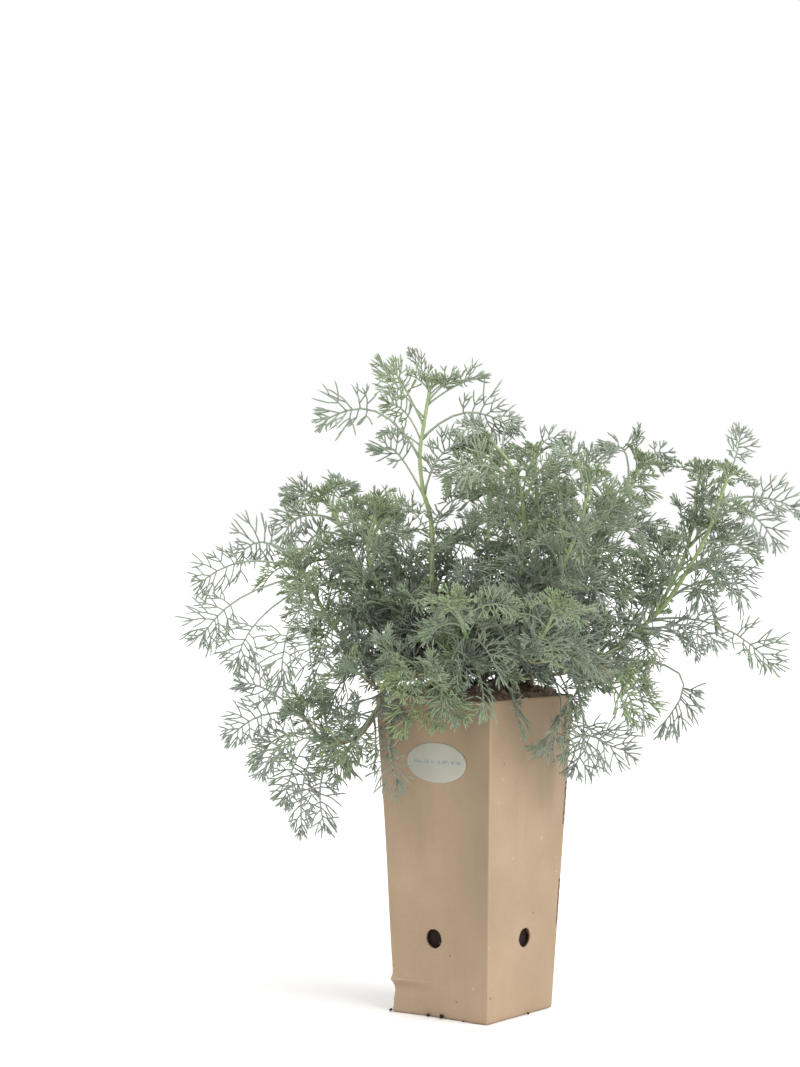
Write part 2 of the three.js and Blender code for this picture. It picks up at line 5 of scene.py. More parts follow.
import bmesh
import bpy
import numpy as np
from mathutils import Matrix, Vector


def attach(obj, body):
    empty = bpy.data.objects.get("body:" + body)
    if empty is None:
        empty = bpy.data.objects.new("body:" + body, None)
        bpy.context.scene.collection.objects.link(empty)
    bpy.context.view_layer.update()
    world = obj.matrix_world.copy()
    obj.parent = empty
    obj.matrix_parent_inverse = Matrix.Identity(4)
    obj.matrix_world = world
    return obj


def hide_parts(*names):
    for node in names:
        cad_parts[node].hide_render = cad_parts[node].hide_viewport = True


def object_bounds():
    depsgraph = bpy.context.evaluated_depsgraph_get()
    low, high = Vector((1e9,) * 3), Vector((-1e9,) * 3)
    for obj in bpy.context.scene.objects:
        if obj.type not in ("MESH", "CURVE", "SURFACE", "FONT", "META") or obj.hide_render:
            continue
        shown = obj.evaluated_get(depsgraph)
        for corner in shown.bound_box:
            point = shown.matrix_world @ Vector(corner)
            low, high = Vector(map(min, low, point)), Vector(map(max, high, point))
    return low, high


MM = 0.001
UP = np.array([0, 0, 1.0])

# Camera: level, and turned from the pot's front so that it looks over the pot's near corner
VIEW_TURN = math.radians(38.2)
CAMERA_DISTANCE = 1461
CAMERA_ASIDE = 47.6
CAMERA_HEIGHT = 302
LENS = 77.6
SENSOR_WIDTH = 36

# Lamps, each with its strength, the way it comes from, how high it stands and how wide it shines, in degrees
LAMPS = [("key", 2.0, 95, 42, 50), ("fill", 0.5, -55, 35, 70)]
FLOOR_REACH = 30000
FLOOR_DROP = 0.3

# Pot
POT_TOP = 90
POT_BOTTOM = 70
POT_HEIGHT = 200
BOARD = 1.5
DRAIN_DIAMETER = 12
DRAIN_HEIGHT = 49.5
DRAIN_ASIDE = -3.5
FLAP_WIDTH = 12
SLOT_DEPTH = 2.2
SLOT_SPANS = [(53, 82), (117, 144)]
LINING_THICKNESS = 1.8
FOLD_RADIUS = 0.6
WALL_STEPS = 28
FOLD_STEPS = 3
HEIGHT_STEPS = 110

# The walls' bow and waves, and the creased and buckled spot at the left fold
WALL_BOW = 1.1
WALL_WAVE = 0.22
LEFT_CREASE_HEIGHT = 20.5
CREASE_RIDGE = 1.2
CREASE_VALLEY = 1.1
BUCKLE = 2.3
FRAYED_FOOT = 0.9

# Dents: the wall, how far they stand out, then where and how wide they are along the wall and in height
DENTS = [(0, 0.5, 0.12, 0.3, 15, 5), (0, -0.6, 0.1, 0.35, 27, 5)]

# Label on the -Y face
LABEL_WIDTH = 46
LABEL_HEIGHT = 25
LABEL_THICKNESS = 0.4
LABEL_CENTRE_HEIGHT = 160
LABEL_ASIDE = 2.6
LABEL_RINGS = 12
LABEL_SIDES = 72
CLEARANCE = 0.3

# Potting soil
SOIL_EDGE_HEIGHT = 196
SOIL_MOUND = 10
LUMP_HEIGHT = 0.8
SOIL_STEPS = 60
SOIL_SINK = 0.6
SOIL_SEED = 5
CRUMB_COUNT = 260
FIBRE_COUNT = 170
ROOTS_PER_HOLE = 4
ROOT_RADIUS = 0.19
ROOT_TONE = 1.5

# Crumbs that fell beside the pot's foot: x, y and size
FALLEN_CRUMBS = [
    (-9, -36.8, 1.1), (1, -37.0, 1.3), (-38.5, -37.2, 0.9), (-37.5, -39, 0.7), (18, -36.6, 0.6),
    (37, 6, 0.7),
]

# Colours, as linear red, green and blue. A pair runs from one to the other.
GREY_LEAVES = [(0.168, 0.216, 0.148), (0.26, 0.31, 0.238)]
BRIGHT_LEAVES = [(0.245, 0.355, 0.115), (0.345, 0.455, 0.19)]
SILVER_LEAF = (0.3, 0.335, 0.31)
YELLOW_LEAF = (0.43, 0.42, 0.13)
OLD_LEAF = (0.1, 0.115, 0.07)
LEAF_RIB = (0.37, 0.42, 0.3)
# Painted shade at the ends of the leaves' threads
THREAD_END_SHADE = (0.09, 0.105, 0.075)
LEAF_PATCH = (0.15, 0.185, 0.12)
# Painted shade for leaves inside the clump
SHADED_LEAF = (0.075, 0.085, 0.05)
# Painted light for leaves high on the clump
PAINTED_LIGHT_LEAF = (0.32, 0.4, 0.225)
LEAF_DOWN = (0.46, 0.5, 0.46)
GREEN_STEMS = [(0.3, 0.4, 0.14), (0.38, 0.46, 0.2)]
STEM_BLOTCH = (0.24, 0.33, 0.15)
WOODY_STEMS = [(0.12, 0.065, 0.035), (0.2, 0.13, 0.08)]
STEM_STREAK = (0.5, 0.52, 0.34)
KRAFT = (0.385, 0.282, 0.19)
KRAFT_SHADE = (0.325, 0.234, 0.152)
# Painted shade on the -Y face beside its near fold
KRAFT_FOLD_SHADE = (0.25, 0.19, 0.122)
# Painted shade in the valley of the crease on the -Y face
KRAFT_CREASE_SHADE = (0.25, 0.185, 0.12)
DARK_FLECK = (0.12, 0.08, 0.05)
PALE_FLECK = (0.6, 0.5, 0.36)
CUT_BOARD = [(0.1, 0.055, 0.035), (0.24, 0.14, 0.09)]
LABEL_PAPER = [(0.355, 0.355, 0.29), (0.412, 0.403, 0.336)]
PAPER_FIBRE = (0.52, 0.51, 0.45)
LABEL_INK = (0.13, 0.19, 0.24)
POTTING_MIX = [(0.075, 0.053, 0.04), (0.4, 0.305, 0.24)]
SOIL_CLODS = [(0.085, 0.06, 0.046), (0.46, 0.355, 0.285)]
SOIL_GRIT = (0.34, 0.27, 0.2)
# Damp and painted shade of the soil low in the pot
DAMP_SOIL_AND_SHADE = (0.014, 0.008, 0.007)
SOIL_FIBRES = [(0.1, 0.06, 0.035), (0.3, 0.21, 0.13)]
FIBRE_STAIN = (0.06, 0.035, 0.02)
STUDIO_FLOOR = [(0.95, 0.95, 0.95), (0.97, 0.97, 0.97)]

# Stains on the board, partly damp and partly painted shade of its dents and flutes: where, how wide, how
# strong, and their colour. They are three times as high as wide.
STAINS_AND_SHADE = [
    ((44, 14, 168), 9, 0.38, (0.25, 0.215, 0.15)),
    ((43, 22, 140), 7, 0.3, (0.25, 0.215, 0.15)),
    ((-14, -43, 128), 12, 0.3, (0.24, 0.185, 0.12)),
    ((24, -43, 188), 14, 0.5, (0.23, 0.165, 0.105)),
    ((31, -38, 95), 9, 0.4, (0.235, 0.19, 0.125)),
    ((16, -36, 30), 10, 0.28, (0.25, 0.185, 0.12)),
    ((-14, 44, 120), 14, 0.4, (0.23, 0.19, 0.12)),
    ((-43, 12, 165), 12, 0.4, (0.22, 0.17, 0.1)),
]
STAIN_AND_SHADE_STRETCH = 0.33

# Stems
STEM_FOOT = 178
UPRIGHT_HEIGHTS = [STEM_FOOT, 194, 209]
STEM_TIP_RADIUS = 1.05
STEM_SIDES = 8
SMOOTH_STEPS = 5
WOODY_HEIGHT = 232
BRANCH_RADIUS_SHARE = 0.55
STEM_YOUTH = 0.6
TWIG_RADII = (0.95, 0.6)
TWIG_SIDES = 5
TWIG_YOUTH = 0.7

# The part's own leaves
GOLDEN_ANGLE = 137.508
PLANT_SEED = 21
STEM_SEED = 1000
LEAF_ROLL = 2.4
TIP_SHORTENING = 0.5
LAST_LEAF = 0.985
BRANCH_FIRST_LEAF = 0.3

# Leaves: their sizes, how far their leaflets fold up by how they open, and the thickness of their threads
LARGE_LEAF = 32
SMALL_LEAF = 20
LONGEST_BLADE = 58
COMPACT_BLADE = 40
LEAF_FOLDS = {"free": (0.15, 1.1), "open": (0.0, 0.55), "outer": (0.95, 1.3), "compact": (0.1, 0.75)}
THREAD_RADIUS = 0.62
FREE_LEAF_THICKNESS = 0.8
RIB_SHARES = np.array([0, 0.08, 0.2, 0.35, 0.5, 0.64, 0.78, 0.9, 1.0])
RIB_RADII = np.array([1.9, 1.35, 1.15, 1.1, 1.08, 1.0, 0.92, 0.85, 0.35])
LEAFLET_RADII = np.array([0.95, 0.88, 0.98, 0.3])
THREAD_RADII = np.array([0.82, 0.9, 0.98, 0.3])

# How much an open leaf keeps of its own facing, and how much it turns its face to the front
OWN_FACING = 0.5
FRONT_FACING = 0.85

# A thread runs in three straight parts, and bends a little towards its course after the first and the second
THREAD_PARTS = [0.4, 0.38, 0.24]
THREAD_BENDS = [0.34, 0.26]
THREAD_WOBBLE = [0.06, 0.05]

# How much leaflets and forks vary: in place, in length, in degrees, and in the plane they lie in
LEAFLET_SHIFT = 0.03
LEAFLET_LENGTHS = (0.8, 1.16)
LEAFLET_TURN = 8
LEAFLET_TILT = 0.16
FORK_SHARE = 0.7
FORK_SHIFT = 0.08
FORK_LENGTHS = (0.75, 1.2)
FORK_TURN = 10
PLANE_WOBBLE = 0.35

# The fan of threads at a leaf's tip: how far each leans aside, and their lengths beside the blade
TIP_FAN = np.array([[0.9], [-0.9], [0.35], [-0.35]])
TIP_LENGTHS = (0.15, 0.24)

# Leaves that grow freely: the tries at finding room, then lift in degrees, droop, arch, roll and size
LEAF_TRIES = 5
TRY_TURN = 1.3
TRY_SHRINK = 0.93
LEAF_LIFTS = (10, 55)
LEAF_DROOPS = (-0.05, 0.35)
LEAF_ARCHES = (0.12, 0.3)
LEAF_TURNS = (-0.9, 0.9)
LEAF_SIZES = (0.75, 1.15)
STEM_LEAF_YOUTHS = (-0.12, 0.7)
TUFT_LEAVES = 11
TWIG_LEAF_SPAN = (0.2, 1)
TWIG_LEAF_SPACING = 5.5
TWIG_LEAF_YOUTHS = (0.15, 0.55)
TWIG_TUFT_LEAVES = 4
TWIG_TRIES = 4
TWIG_TURN = 2.1
TWIG_LENGTHS = (0.45, 1.25)
SKIRT_SPAN = (0.06, 0.34)
SKIRT_SIZES = (30, 34)
SKIRT_YOUTHS = (-0.3, -0.12)

# Where leaves have room, and the middle of the clump, towards which leaves take painted shade
BOX_ALLOWANCE = 9
POT_ALLOWANCE = 0.8
CLUMP_HEART = (0, 0, 205)

# Pairs of leaflets along the rib: where they stand, how long they are beside the leaf, how far they spread
LARGE_LEAFLETS = [
    (0.44, 0.26, 82), (0.53, 0.34, 73), (0.62, 0.38, 64), (0.71, 0.36, 55), (0.81, 0.3, 45),
    (0.91, 0.23, 34),
]
COMPACT_LEAFLETS = [
    (0.22, 0.34, 88), (0.33, 0.41, 80), (0.44, 0.44, 70), (0.55, 0.42, 60), (0.66, 0.38, 51),
    (0.77, 0.32, 42), (0.89, 0.25, 32),
]
MEDIUM_LEAFLETS = [(0.45, 0.32, 72), (0.59, 0.39, 60), (0.73, 0.36, 48), (0.87, 0.27, 36)]
SMALL_LEAFLETS = [(0.38, 0.42, 54), (0.6, 0.43, 42), (0.82, 0.32, 30)]

# Where threads fork off a leaflet, how long they are beside it, and how far they open
LARGE_FORKS = [(0.28, 0.66, 38), (0.55, 0.5, 30)]
MEDIUM_FORKS = [(0.3, 0.6, 38), (0.58, 0.45, 30)]
SMALL_FORKS = [(0.34, 0.58, 34)]

# What each stem wears besides the part's own leaves. Leaves stand from its first to its last share,
# spacing apart, and shorten to tip_leaf. Side shoots of twig_reach stand along twig_span, twig_spacing
# apart, with twig_leaves long leaves from foot to tip. The tuft is how long the leaves crowded at the
# tip are, and the skirt how far apart old leaves stand low on the stem, or 0 for none. Nothing of this
# hangs under the lowest height, and what a roofed stem wears stays under the ROOF and out of the GAPS.
# The part's own leaves have a youth drawn from leaf_youth, and those that open to the front have the
# silver added to their tone.
DRESSING = {
    "first": 0.2, "last": 1, "spacing": 7, "tip_leaf": 32, "twig_span": (0.2, 0.85), "twig_spacing": 15,
    "twig_reach": 19, "twig_leaves": (38, 28), "tuft": 17, "skirt": 5, "lowest": 206, "roofed": True,
    "leaf_youth": (0, 0.25), "silver": 0.9,
}
BRANCH_DRESSING = {"first": 0.15, "twig_span": (0.1, 0.6), "skirt": 0}

# The top of the clump as it shows from the front, which loose leaves stay under, as [right, up] places,
# and the gaps in it that they leave open, as [right, up, radius]
ROOF = [
    (-130, 285), (-122, 341), (-95, 345), (-70, 332), (-48, 342), (-24, 352), (-8, 369), (16, 371),
    (30, 363), (150, 358), (161, 362), (175, 362), (180, 336), (205, 334),
]
GAPS = [(128, 331, 7), (128, 318, 7)]

# A shoot's foot is [right, near] in the soil, in a frame turned with the view. Its route goes on from
# there as [right, near, up] points. Single leaves are given as [share of the route, a point half-way
# along, the tip], and may add which of the LEAF_FOLDS they have, if not the open one. The more_leaves
# are the same, but are no leaves of the part. A shoot has what SHOOT_DEFAULTS says where it says
# nothing itself.
SHOOT_DEFAULTS = {
    "leaf_count": 6, "first_leaf": 0.3, "single_leaves": [], "more_leaves": [], "branch": None,
    "dressing": {},
}
SHOOTS = [
    {
        "name": "leafy_stem_tall", "foot": [-10, 4], "radius": 2.2,
        "route": [[-16, 5, 228], [-27, 2, 259], [-27, 0, 285], [-28, -2, 311], [-33, 0, 330], [-35, 3, 352],
                  [-32, 5, 374], [-29, 5, 392]],
        "dressing": {"last": 0.62, "spacing": 10, "twig_span": (0.2, 0.5), "twig_spacing": 20, "tuft": 15,
                     "roofed": False},
        "more_leaves": [
            [0.9, [-44, 5, 393], [-52, 7, 406]], [0.85, [-44, -6, 379], [-56, -10, 385]],
            [0.97, [-20, 8, 396], [-12, 10, 401]],
        ],
        "first_leaf": 0.25, "leaf_length": 54,
        "single_leaves": [
            [0.8, [-63, 12, 379], [-97, 18, 371]], [0.86, [-6, -4, 379], [22, -12, 370]],
            [0.92, [-48, 16, 393], [-59, 24, 407], "free"], [0.99, [-32, -4, 403], [-42, -12, 418], "free"],
            [0.96, [-11, 8, 396], [3, 14, 399], "free"], [0.68, [-48, -14, 352], [-58, -22, 356]],
            [0.7, [-22, 16, 351], [-8, 24, 357]],
        ],
    },
    {
        "name": "leafy_stem_centre_left", "foot": [4, 10], "radius": 1.9,
        "route": [[14, 12, 238], [25, 16, 267], [30, 18, 295], [29, 20, 323], [22, 22, 344], [11, 25, 358]],
        "dressing": {"spacing": 6, "tip_leaf": 38, "twig_span": (0.2, 0.92), "twig_reach": 22},
        "leaf_count": 5, "first_leaf": 0.3, "leaf_length": 54,
        "single_leaves": [
            [0.99, [1, 30, 368], [-12, 36, 362]], [0.95, [19, 20, 370], [28, 14, 366]],
            [0.82, [5, 40, 344], [-10, 52, 335]],
        ],
    },
    {
        "name": "leafy_stem_centre", "foot": [5, -8], "radius": 1.8,
        "route": [[22, -10, 236], [36, -14, 266], [40, -16, 298], [40, -16, 324], [39, -15, 349]],
        "leaf_length": 56,
        "single_leaves": [[0.98, [46, -18, 362], [59, -20, 361]]],
    },
    {
        "name": "leafy_stem_centre_right", "foot": [15, 15], "radius": 2,
        "route": [[28, 22, 226], [41, 28, 246], [49, 33, 266], [55, 36, 286], [64, 39, 308], [70, 40, 333]],
        "first_leaf": 0.28, "leaf_length": 54,
        "single_leaves": [[0.99, [76, 44, 346], [83, 46, 353]], [0.95, [60, 50, 346], [50, 56, 353]]],
    },
    {
        "name": "leafy_stem_right_upper", "foot": [16, -10], "radius": 1.9,
        "route": [[40, -20, 229], [64, -32, 262], [84, -40, 298], [97, -45, 323], [109, -49, 344]],
        "dressing": {"twig_span": (0.2, 0.72)},
        "leaf_length": 56,
        "single_leaves": [[0.99, [121, -50, 355], [129, -48, 350]], [0.93, [100, -60, 358], [86, -66, 352]]],
    },
    {
        "name": "leafy_stem_right_main", "foot": [24, 1], "radius": 2.4,
        "route": [[46, 1, 217], [76, -1, 221], [100, -1, 238], [118, 1, 254], [134, 5, 278], [147, 8, 303],
                  [154, 10, 323], [159, 10, 337]],
        "dressing": {
            "first": 0.28, "tip_leaf": 26, "twig_span": (0.2, 0.6), "twig_reach": 15, "tuft": 13,
            "lowest": 200,
        },
        "more_leaves": [
            [0.5, [113, 8, 272], [101, 12, 288]], [0.56, [119, -4, 284], [107, -10, 297]],
            [0.45, [99, 10, 262], [90, 14, 280]], [0.62, [140, 8, 270], [138, 14, 256]],
        ],
        "leaf_count": 5, "first_leaf": 0.3, "leaf_length": 52,
        "branch": {
            "leaves_at": 0.58, "route": [[134, -8, 287], [140, -16, 310], [146, -24, 339]], "leaf_count": 4,
        },
        "single_leaves": [
            [0.99, [165, 8, 352], [168, 6, 367]], [0.93, [178, 14, 325], [201, 20, 317]],
            [0.88, [170, 22, 315], [186, 34, 294]], [0.55, [153, 12, 244], [187, 22, 217]],
            [0.47, [130, 24, 245], [147, 34, 235]], [0.36, [128, 14, 214], [113, 18, 178], "outer"],
            [0.72, [154, 20, 285], [165, 30, 257]],
        ],
    },
    {
        "name": "leafy_stem_right_low", "foot": [27, 14], "radius": 1.7,
        "route": [[46, 18, 213], [62, 25, 216], [75, 32, 219], [86, 35, 214]],
        "dressing": {
            "first": 0.4, "tip_leaf": 36, "twig_span": (0.5, 0.95), "twig_spacing": 26, "lowest": 176,
            "roofed": False, "skirt": 0,
        },
        "more_leaves": [[0.8, [85, 38, 206], [95, 40, 186]]],
        "leaf_count": 3, "first_leaf": 0.5, "leaf_length": 42,
        "single_leaves": [
            [0.75, [68, 42, 183], [94, 46, 168]], [0.6, [58, 38, 184], [36, 40, 170], "free"],
            [0.68, [67, 27, 182], [60, 29, 154]], [0.97, [94, 33, 203], [98, 30, 183]],
            [0.55, [51, 48, 192], [38, 54, 174], "free"],
        ],
    },
    {
        "name": "leafy_stem_left_trailing", "foot": [-23, 12], "radius": 2.1,
        "route": [[-38, 20, 214], [-55, 26, 206], [-63, 28, 190], [-73, 28, 176], [-88, 26, 171],
                  [-100, 24, 177], [-108, 22, 188]],
        "dressing": {
            "first": 0.35, "tip_leaf": 36, "twig_span": (0.35, 0.95), "twig_spacing": 22, "lowest": 150,
            "roofed": False, "skirt": 0,
        },
        "more_leaves": [
            [0.5, [-72, 36, 178], [-80, 40, 162]], [0.6, [-82, 34, 164], [-90, 38, 156]],
            [0.55, [-80, 20, 168], [-84, 14, 158]],
        ],
        "leaf_count": 4, "first_leaf": 0.45, "leaf_length": 42,
        "single_leaves": [
            [0.99, [-133, 30, 189], [-155, 36, 173], "compact"],
            [0.97, [-130, 24, 204], [-147, 28, 208], "compact"],
            [0.94, [-122, 34, 171], [-133, 40, 152], "compact"],
            [0.85, [-107, 21, 152], [-109, 18, 112], "compact"],
            [0.8, [-97, 32, 146], [-93, 36, 117], "compact"],
            [0.9, [-113, 9, 159], [-121, 6, 130], "compact"],
            [0.42, [-55, 46, 178], [-48, 48, 146], "free"],
        ],
    },
    {
        "name": "leafy_stem_left_middle", "foot": [-23, -4], "radius": 2,
        "route": [[-44, -10, 219], [-70, -13, 224], [-90, -10, 242], [-102, -5, 264], [-111, 0, 280]],
        "dressing": {"tip_leaf": 34, "twig_span": (0.2, 0.9), "lowest": 200},
        "leaf_count": 5, "first_leaf": 0.35, "leaf_length": 50,
        "single_leaves": [
            [0.99, [-147, -8, 284], [-177, -14, 269]], [0.96, [-149, 8, 261], [-173, 14, 235]],
            [0.92, [-136, 22, 248], [-149, 32, 221]], [0.85, [-116, 30, 245], [-121, 40, 205]],
            [0.9, [-130, -14, 295], [-151, -30, 288]], [0.75, [-104, 24, 240], [-99, 32, 204]],
        ],
    },
    {
        "name": "leafy_stem_left_upper", "foot": [-16, -15], "radius": 1.9,
        "route": [[-42, -26, 231], [-64, -31, 256], [-76, -34, 282], [-84, -34, 303], [-94, -32, 321]],
        "dressing": {"twig_span": (0.2, 0.8), "twig_reach": 23},
        "leaf_length": 52,
        "single_leaves": [
            [0.99, [-109, -30, 330], [-122, -28, 325]], [0.93, [-111, -20, 313], [-123, -14, 298]],
            [0.85, [-101, -46, 302], [-115, -54, 284]], [0.97, [-89, -44, 332], [-81, -54, 335]],
        ],
    },
    {
        "name": "leafy_stem_left_inner", "foot": [-14, -6], "radius": 1.8,
        "route": [[-32, -6, 231], [-54, -8, 256], [-66, -11, 280], [-68, -12, 297], [-63, -12, 312]],
        "dressing": {"twig_span": (0.2, 0.8), "twig_reach": 23},
        "leaf_length": 54,
    },
    {
        "name": "leafy_stem_front_left", "foot": [-8, 24], "radius": 1.6,
        "route": [[-13, 32, 213], [-22, 48, 216], [-32, 62, 217], [-42, 76, 214]],
        "dressing": {
            "first": 0.3, "spacing": 6, "twig_span": (0.3, 0.9), "tuft": 18, "lowest": 198, "silver": 0,
            "leaf_youth": (0.5, 1.5),
        },
        "more_leaves": [[0.8, [-22, 74, 206], [-12, 82, 190]]],
        "leaf_count": 4, "first_leaf": 0.4, "leaf_length": 44,
        "single_leaves": [
            [0.75, [-22, 64, 202], [-26, 68, 184]], [0.88, [-20, 78, 204], [-10, 82, 190], "free"],
            [0.6, [-37, 54, 202], [-45, 56, 180]],
        ],
    },
    {
        "name": "leafy_stem_front_centre", "foot": [2, 26], "radius": 1.7,
        "route": [[-1, 38, 222], [-5, 56, 234], [-10, 74, 246], [-13, 86, 256]],
        "dressing": {
            "first": 0.3, "spacing": 6.5, "twig_span": (0.3, 0.7), "tuft": 18, "lowest": 202, "silver": 0,
            "leaf_youth": (0.3, 0.9),
        },
        "first_leaf": 0.35, "leaf_length": 48,
        "single_leaves": [[0.6, [2, 70, 210], [2, 76, 194], "free"], [0.75, [-18, 74, 222], [-24, 84, 196]]],
    },
    {
        "name": "leafy_stem_front_right", "foot": [13, 27], "radius": 1.7,
        "route": [[17, 38, 217], [28, 60, 228], [38, 76, 240], [44, 88, 254]],
        "dressing": {"first": 0.3, "spacing": 6.5, "twig_span": (0.3, 0.7), "tuft": 18},
        "first_leaf": 0.35, "leaf_length": 50,
    },
    {
        "name": "leafy_stem_back_left", "foot": [-6, -25], "radius": 1.8,
        "route": [[-22, -46, 232], [-42, -70, 262], [-56, -90, 290], [-63, -100, 316]],
        "leaf_length": 56,
    },
    {
        "name": "leafy_stem_back_centre", "foot": [5, -20], "radius": 1.9,
        "route": [[7, -42, 236], [10, -70, 274], [12, -85, 308], [12, -92, 340]],
        "leaf_length": 58,
    },
    {
        "name": "leafy_stem_back_right", "foot": [15, -23], "radius": 1.8,
        "route": [[32, -48, 232], [56, -76, 260], [78, -94, 286], [92, -104, 312]],
        "leaf_length": 56,
    },
]

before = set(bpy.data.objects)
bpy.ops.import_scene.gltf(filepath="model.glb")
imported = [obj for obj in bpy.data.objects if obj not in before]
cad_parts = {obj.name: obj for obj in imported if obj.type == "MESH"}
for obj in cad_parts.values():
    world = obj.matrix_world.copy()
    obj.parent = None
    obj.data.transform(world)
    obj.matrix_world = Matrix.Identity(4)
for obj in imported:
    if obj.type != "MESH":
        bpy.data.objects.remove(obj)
CAD_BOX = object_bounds()
scene = bpy.context.scene


# Vectors

def unit(v):
    return v / np.linalg.norm(v, axis=-1, keepdims=True)


def turned(v, axis, angle):
    return (v * math.cos(angle) + np.cross(axis, v) * math.sin(angle)
            + axis * np.dot(axis, v) * (1 - math.cos(angle)))


def pot_frame(place):
    right, near, up = place
    return np.array([
        right * math.cos(VIEW_TURN) + near * math.sin(VIEW_TURN),
        right * math.sin(VIEW_TURN) - near * math.cos(VIEW_TURN),
        up,
    ])


def pot_half_width(height):
    return (POT_BOTTOM + (POT_TOP - POT_BOTTOM) * height / POT_HEIGHT) / 2


def smooth_step(low, high, value):
    share = np.clip((value - low) / (high - low), 0, 1)
    return share * share * (3 - 2 * share)


def hump(value, middle, width):
    return np.exp(-((value - middle) / width) ** 2)


def round_angles(count):
    return np.arange(count) * 2 * math.pi / count


# Meshes

def mesh_object(name, vertices, triangles, material_numbers=None, attributes=None, smooth=True):
    """A mesh from corners in millimetres and triangles, with values at the corners for its materials."""
    mesh = bpy.data.meshes.new(name)
    count = len(triangles)
    mesh.vertices.add(len(vertices))
    mesh.vertices.foreach_set("co", (np.asarray(vertices) * MM).astype(np.float32).ravel())
    mesh.loops.add(3 * count)
    mesh.loops.foreach_set("vertex_index", np.asarray(triangles, np.int32).ravel())
    mesh.polygons.add(count)
    mesh.polygons.foreach_set("loop_start", np.arange(0, 3 * count, 3, dtype=np.int32))
    if material_numbers is not None:
        mesh.polygons.foreach_set("material_index", np.asarray(material_numbers, np.int32))
    mesh.polygons.foreach_set("use_smooth", np.full(count, smooth))
    for attribute, values in (attributes or {}).items():
        layer = mesh.attributes.new(attribute, "FLOAT", "POINT")
        layer.data.foreach_set("value", np.asarray(values, np.float32))
    mesh.update()
    mesh.validate()
    thing = bpy.data.objects.new(name, mesh)
    scene.collection.objects.link(thing)
    return thing


def skinned_object(name, shape, *skins, smooth=True):
    thing = mesh_object(name, *shape, smooth=smooth)
    for skin in skins:
        thing.data.materials.append(skin)
    return thing


def place(thing, slot, *nodes):
    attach(thing, "root")
    if nodes:
        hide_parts(*nodes)


def joined(shapes):
    """Several closed shapes, each as its corners and faces, as one."""
    corners, faces = zip(*shapes)
    starts = np.cumsum([0] + [len(part) for part in corners[:-1]])
    return np.vstack(corners), np.vstack([part + start for part, start in zip(faces, starts)])


def ring_faces(rings, sides):
    """The triangles between rings of corners that are listed ring after ring."""
    here = np.arange(sides)
    following = (here + 1) % sides
    faces = []
    for low in np.arange(rings - 1) * sides:
        high = low + sides
        faces.append(np.stack([low + here, low + following, high + following], axis=1))
        faces.append(np.stack([low + here, high + following, high + here], axis=1))
    return np.concatenate(faces)


def stacked_rings(rings):
    """A closed skin through rings of equal length, with a fan over the first and the last."""
    count = len(rings[0])
    vertices = np.vstack(rings + [rings[0].mean(axis=0), rings[-1].mean(axis=0)])
    here = np.arange(count)
    following = (here + 1) % count
    end = (len(rings) - 1) * count
    centre = np.full(count, len(vertices) - 2)
    foot = np.stack([following, here, centre], axis=1)
    top = np.stack([end + here, end + following, centre + 1], axis=1)
    return vertices, np.concatenate([ring_faces(len(rings), count), foot, top])


class Tubes:
    """Collects thin tubes, each along a row of points with a radius at each, and makes one mesh of them."""

    def __init__(self):
        self.batches = []

    def add(self, points, radii, sides, material, youth, tone, along, pointed=True):
        """Takes points by tube, then along it. Radii and along have a value a point, or fewer that repeat."""
        points = np.asarray(points, float)
        count, rings = points.shape[:2]
        radii = np.broadcast_to(radii, (count, rings)).astype(float)
        along = np.broadcast_to(along, (count, rings)).astype(float)
        direction = np.gradient(points, axis=1)
        direction = direction / np.maximum(np.linalg.norm(direction, axis=2, keepdims=True), 1e-9)
        reference = np.where(np.abs(direction[:, 0, 2:3]) < 0.9, [[0, 0, 1]], [[1, 0, 0]])
        side = unit(np.cross(direction[:, 0], reference))
        angles = round_angles(sides)
        rows = []
        for ring in range(rings):
            along_now = direction[:, ring]
            side = unit(side - along_now * np.sum(side * along_now, axis=1, keepdims=True))
            other = np.cross(along_now, side)
            circle = (side[:, None] * np.cos(angles)[None, :, None]
                      + other[:, None] * np.sin(angles)[None, :, None])
            rows.append(points[:, ring, None] + circle * radii[:, ring, None, None])
        if pointed:
            rows[-1] = points[:, -1:, :]
        last_ring = 1 if pointed else sides
        per_tube = sides * (rings - 1) + last_ring
        offsets = np.arange(count)[:, None, None] * per_tube
        triangles = (self.faces(rings, sides, pointed)[None] + offsets).reshape(-1, 3)
        repeat = [sides] * (rings - 1) + [last_ring]
        self.batches.append((
            np.concatenate(rows, axis=1).reshape(-1, 3), triangles, np.full(len(triangles), material),
            np.full(count * per_tube, youth), np.full(count * per_tube, tone),
            np.repeat(along, repeat, axis=1).ravel(),
        ))

    @staticmethod
    def faces(rings, sides, pointed):
        """One tube's triangles, its foot closed and its end closed or pointed."""
        full_rings = rings - 1 if pointed else rings
        last = (full_rings - 1) * sides
        if pointed:
            end = [(last + k, last + (k + 1) % sides, full_rings * sides) for k in range(sides)]
        else:
            end = [(last, last + k, last + k + 1) for k in range(1, sides - 1)]
        foot = [(0, k + 1, k) for k in range(1, sides - 1)]
        return np.vstack([ring_faces(full_rings, sides), end, foot])

    def build(self, name):
        vertices, triangles = joined([batch[:2] for batch in self.batches])
        columns = list(zip(*self.batches))[2:]
        materials, youth, tone, along = (np.concatenate(column) for column in columns)
        attributes = {"youth": youth, "tone": tone, "along": along}
        return mesh_object(name, vertices, triangles, materials, attributes)


# Stems

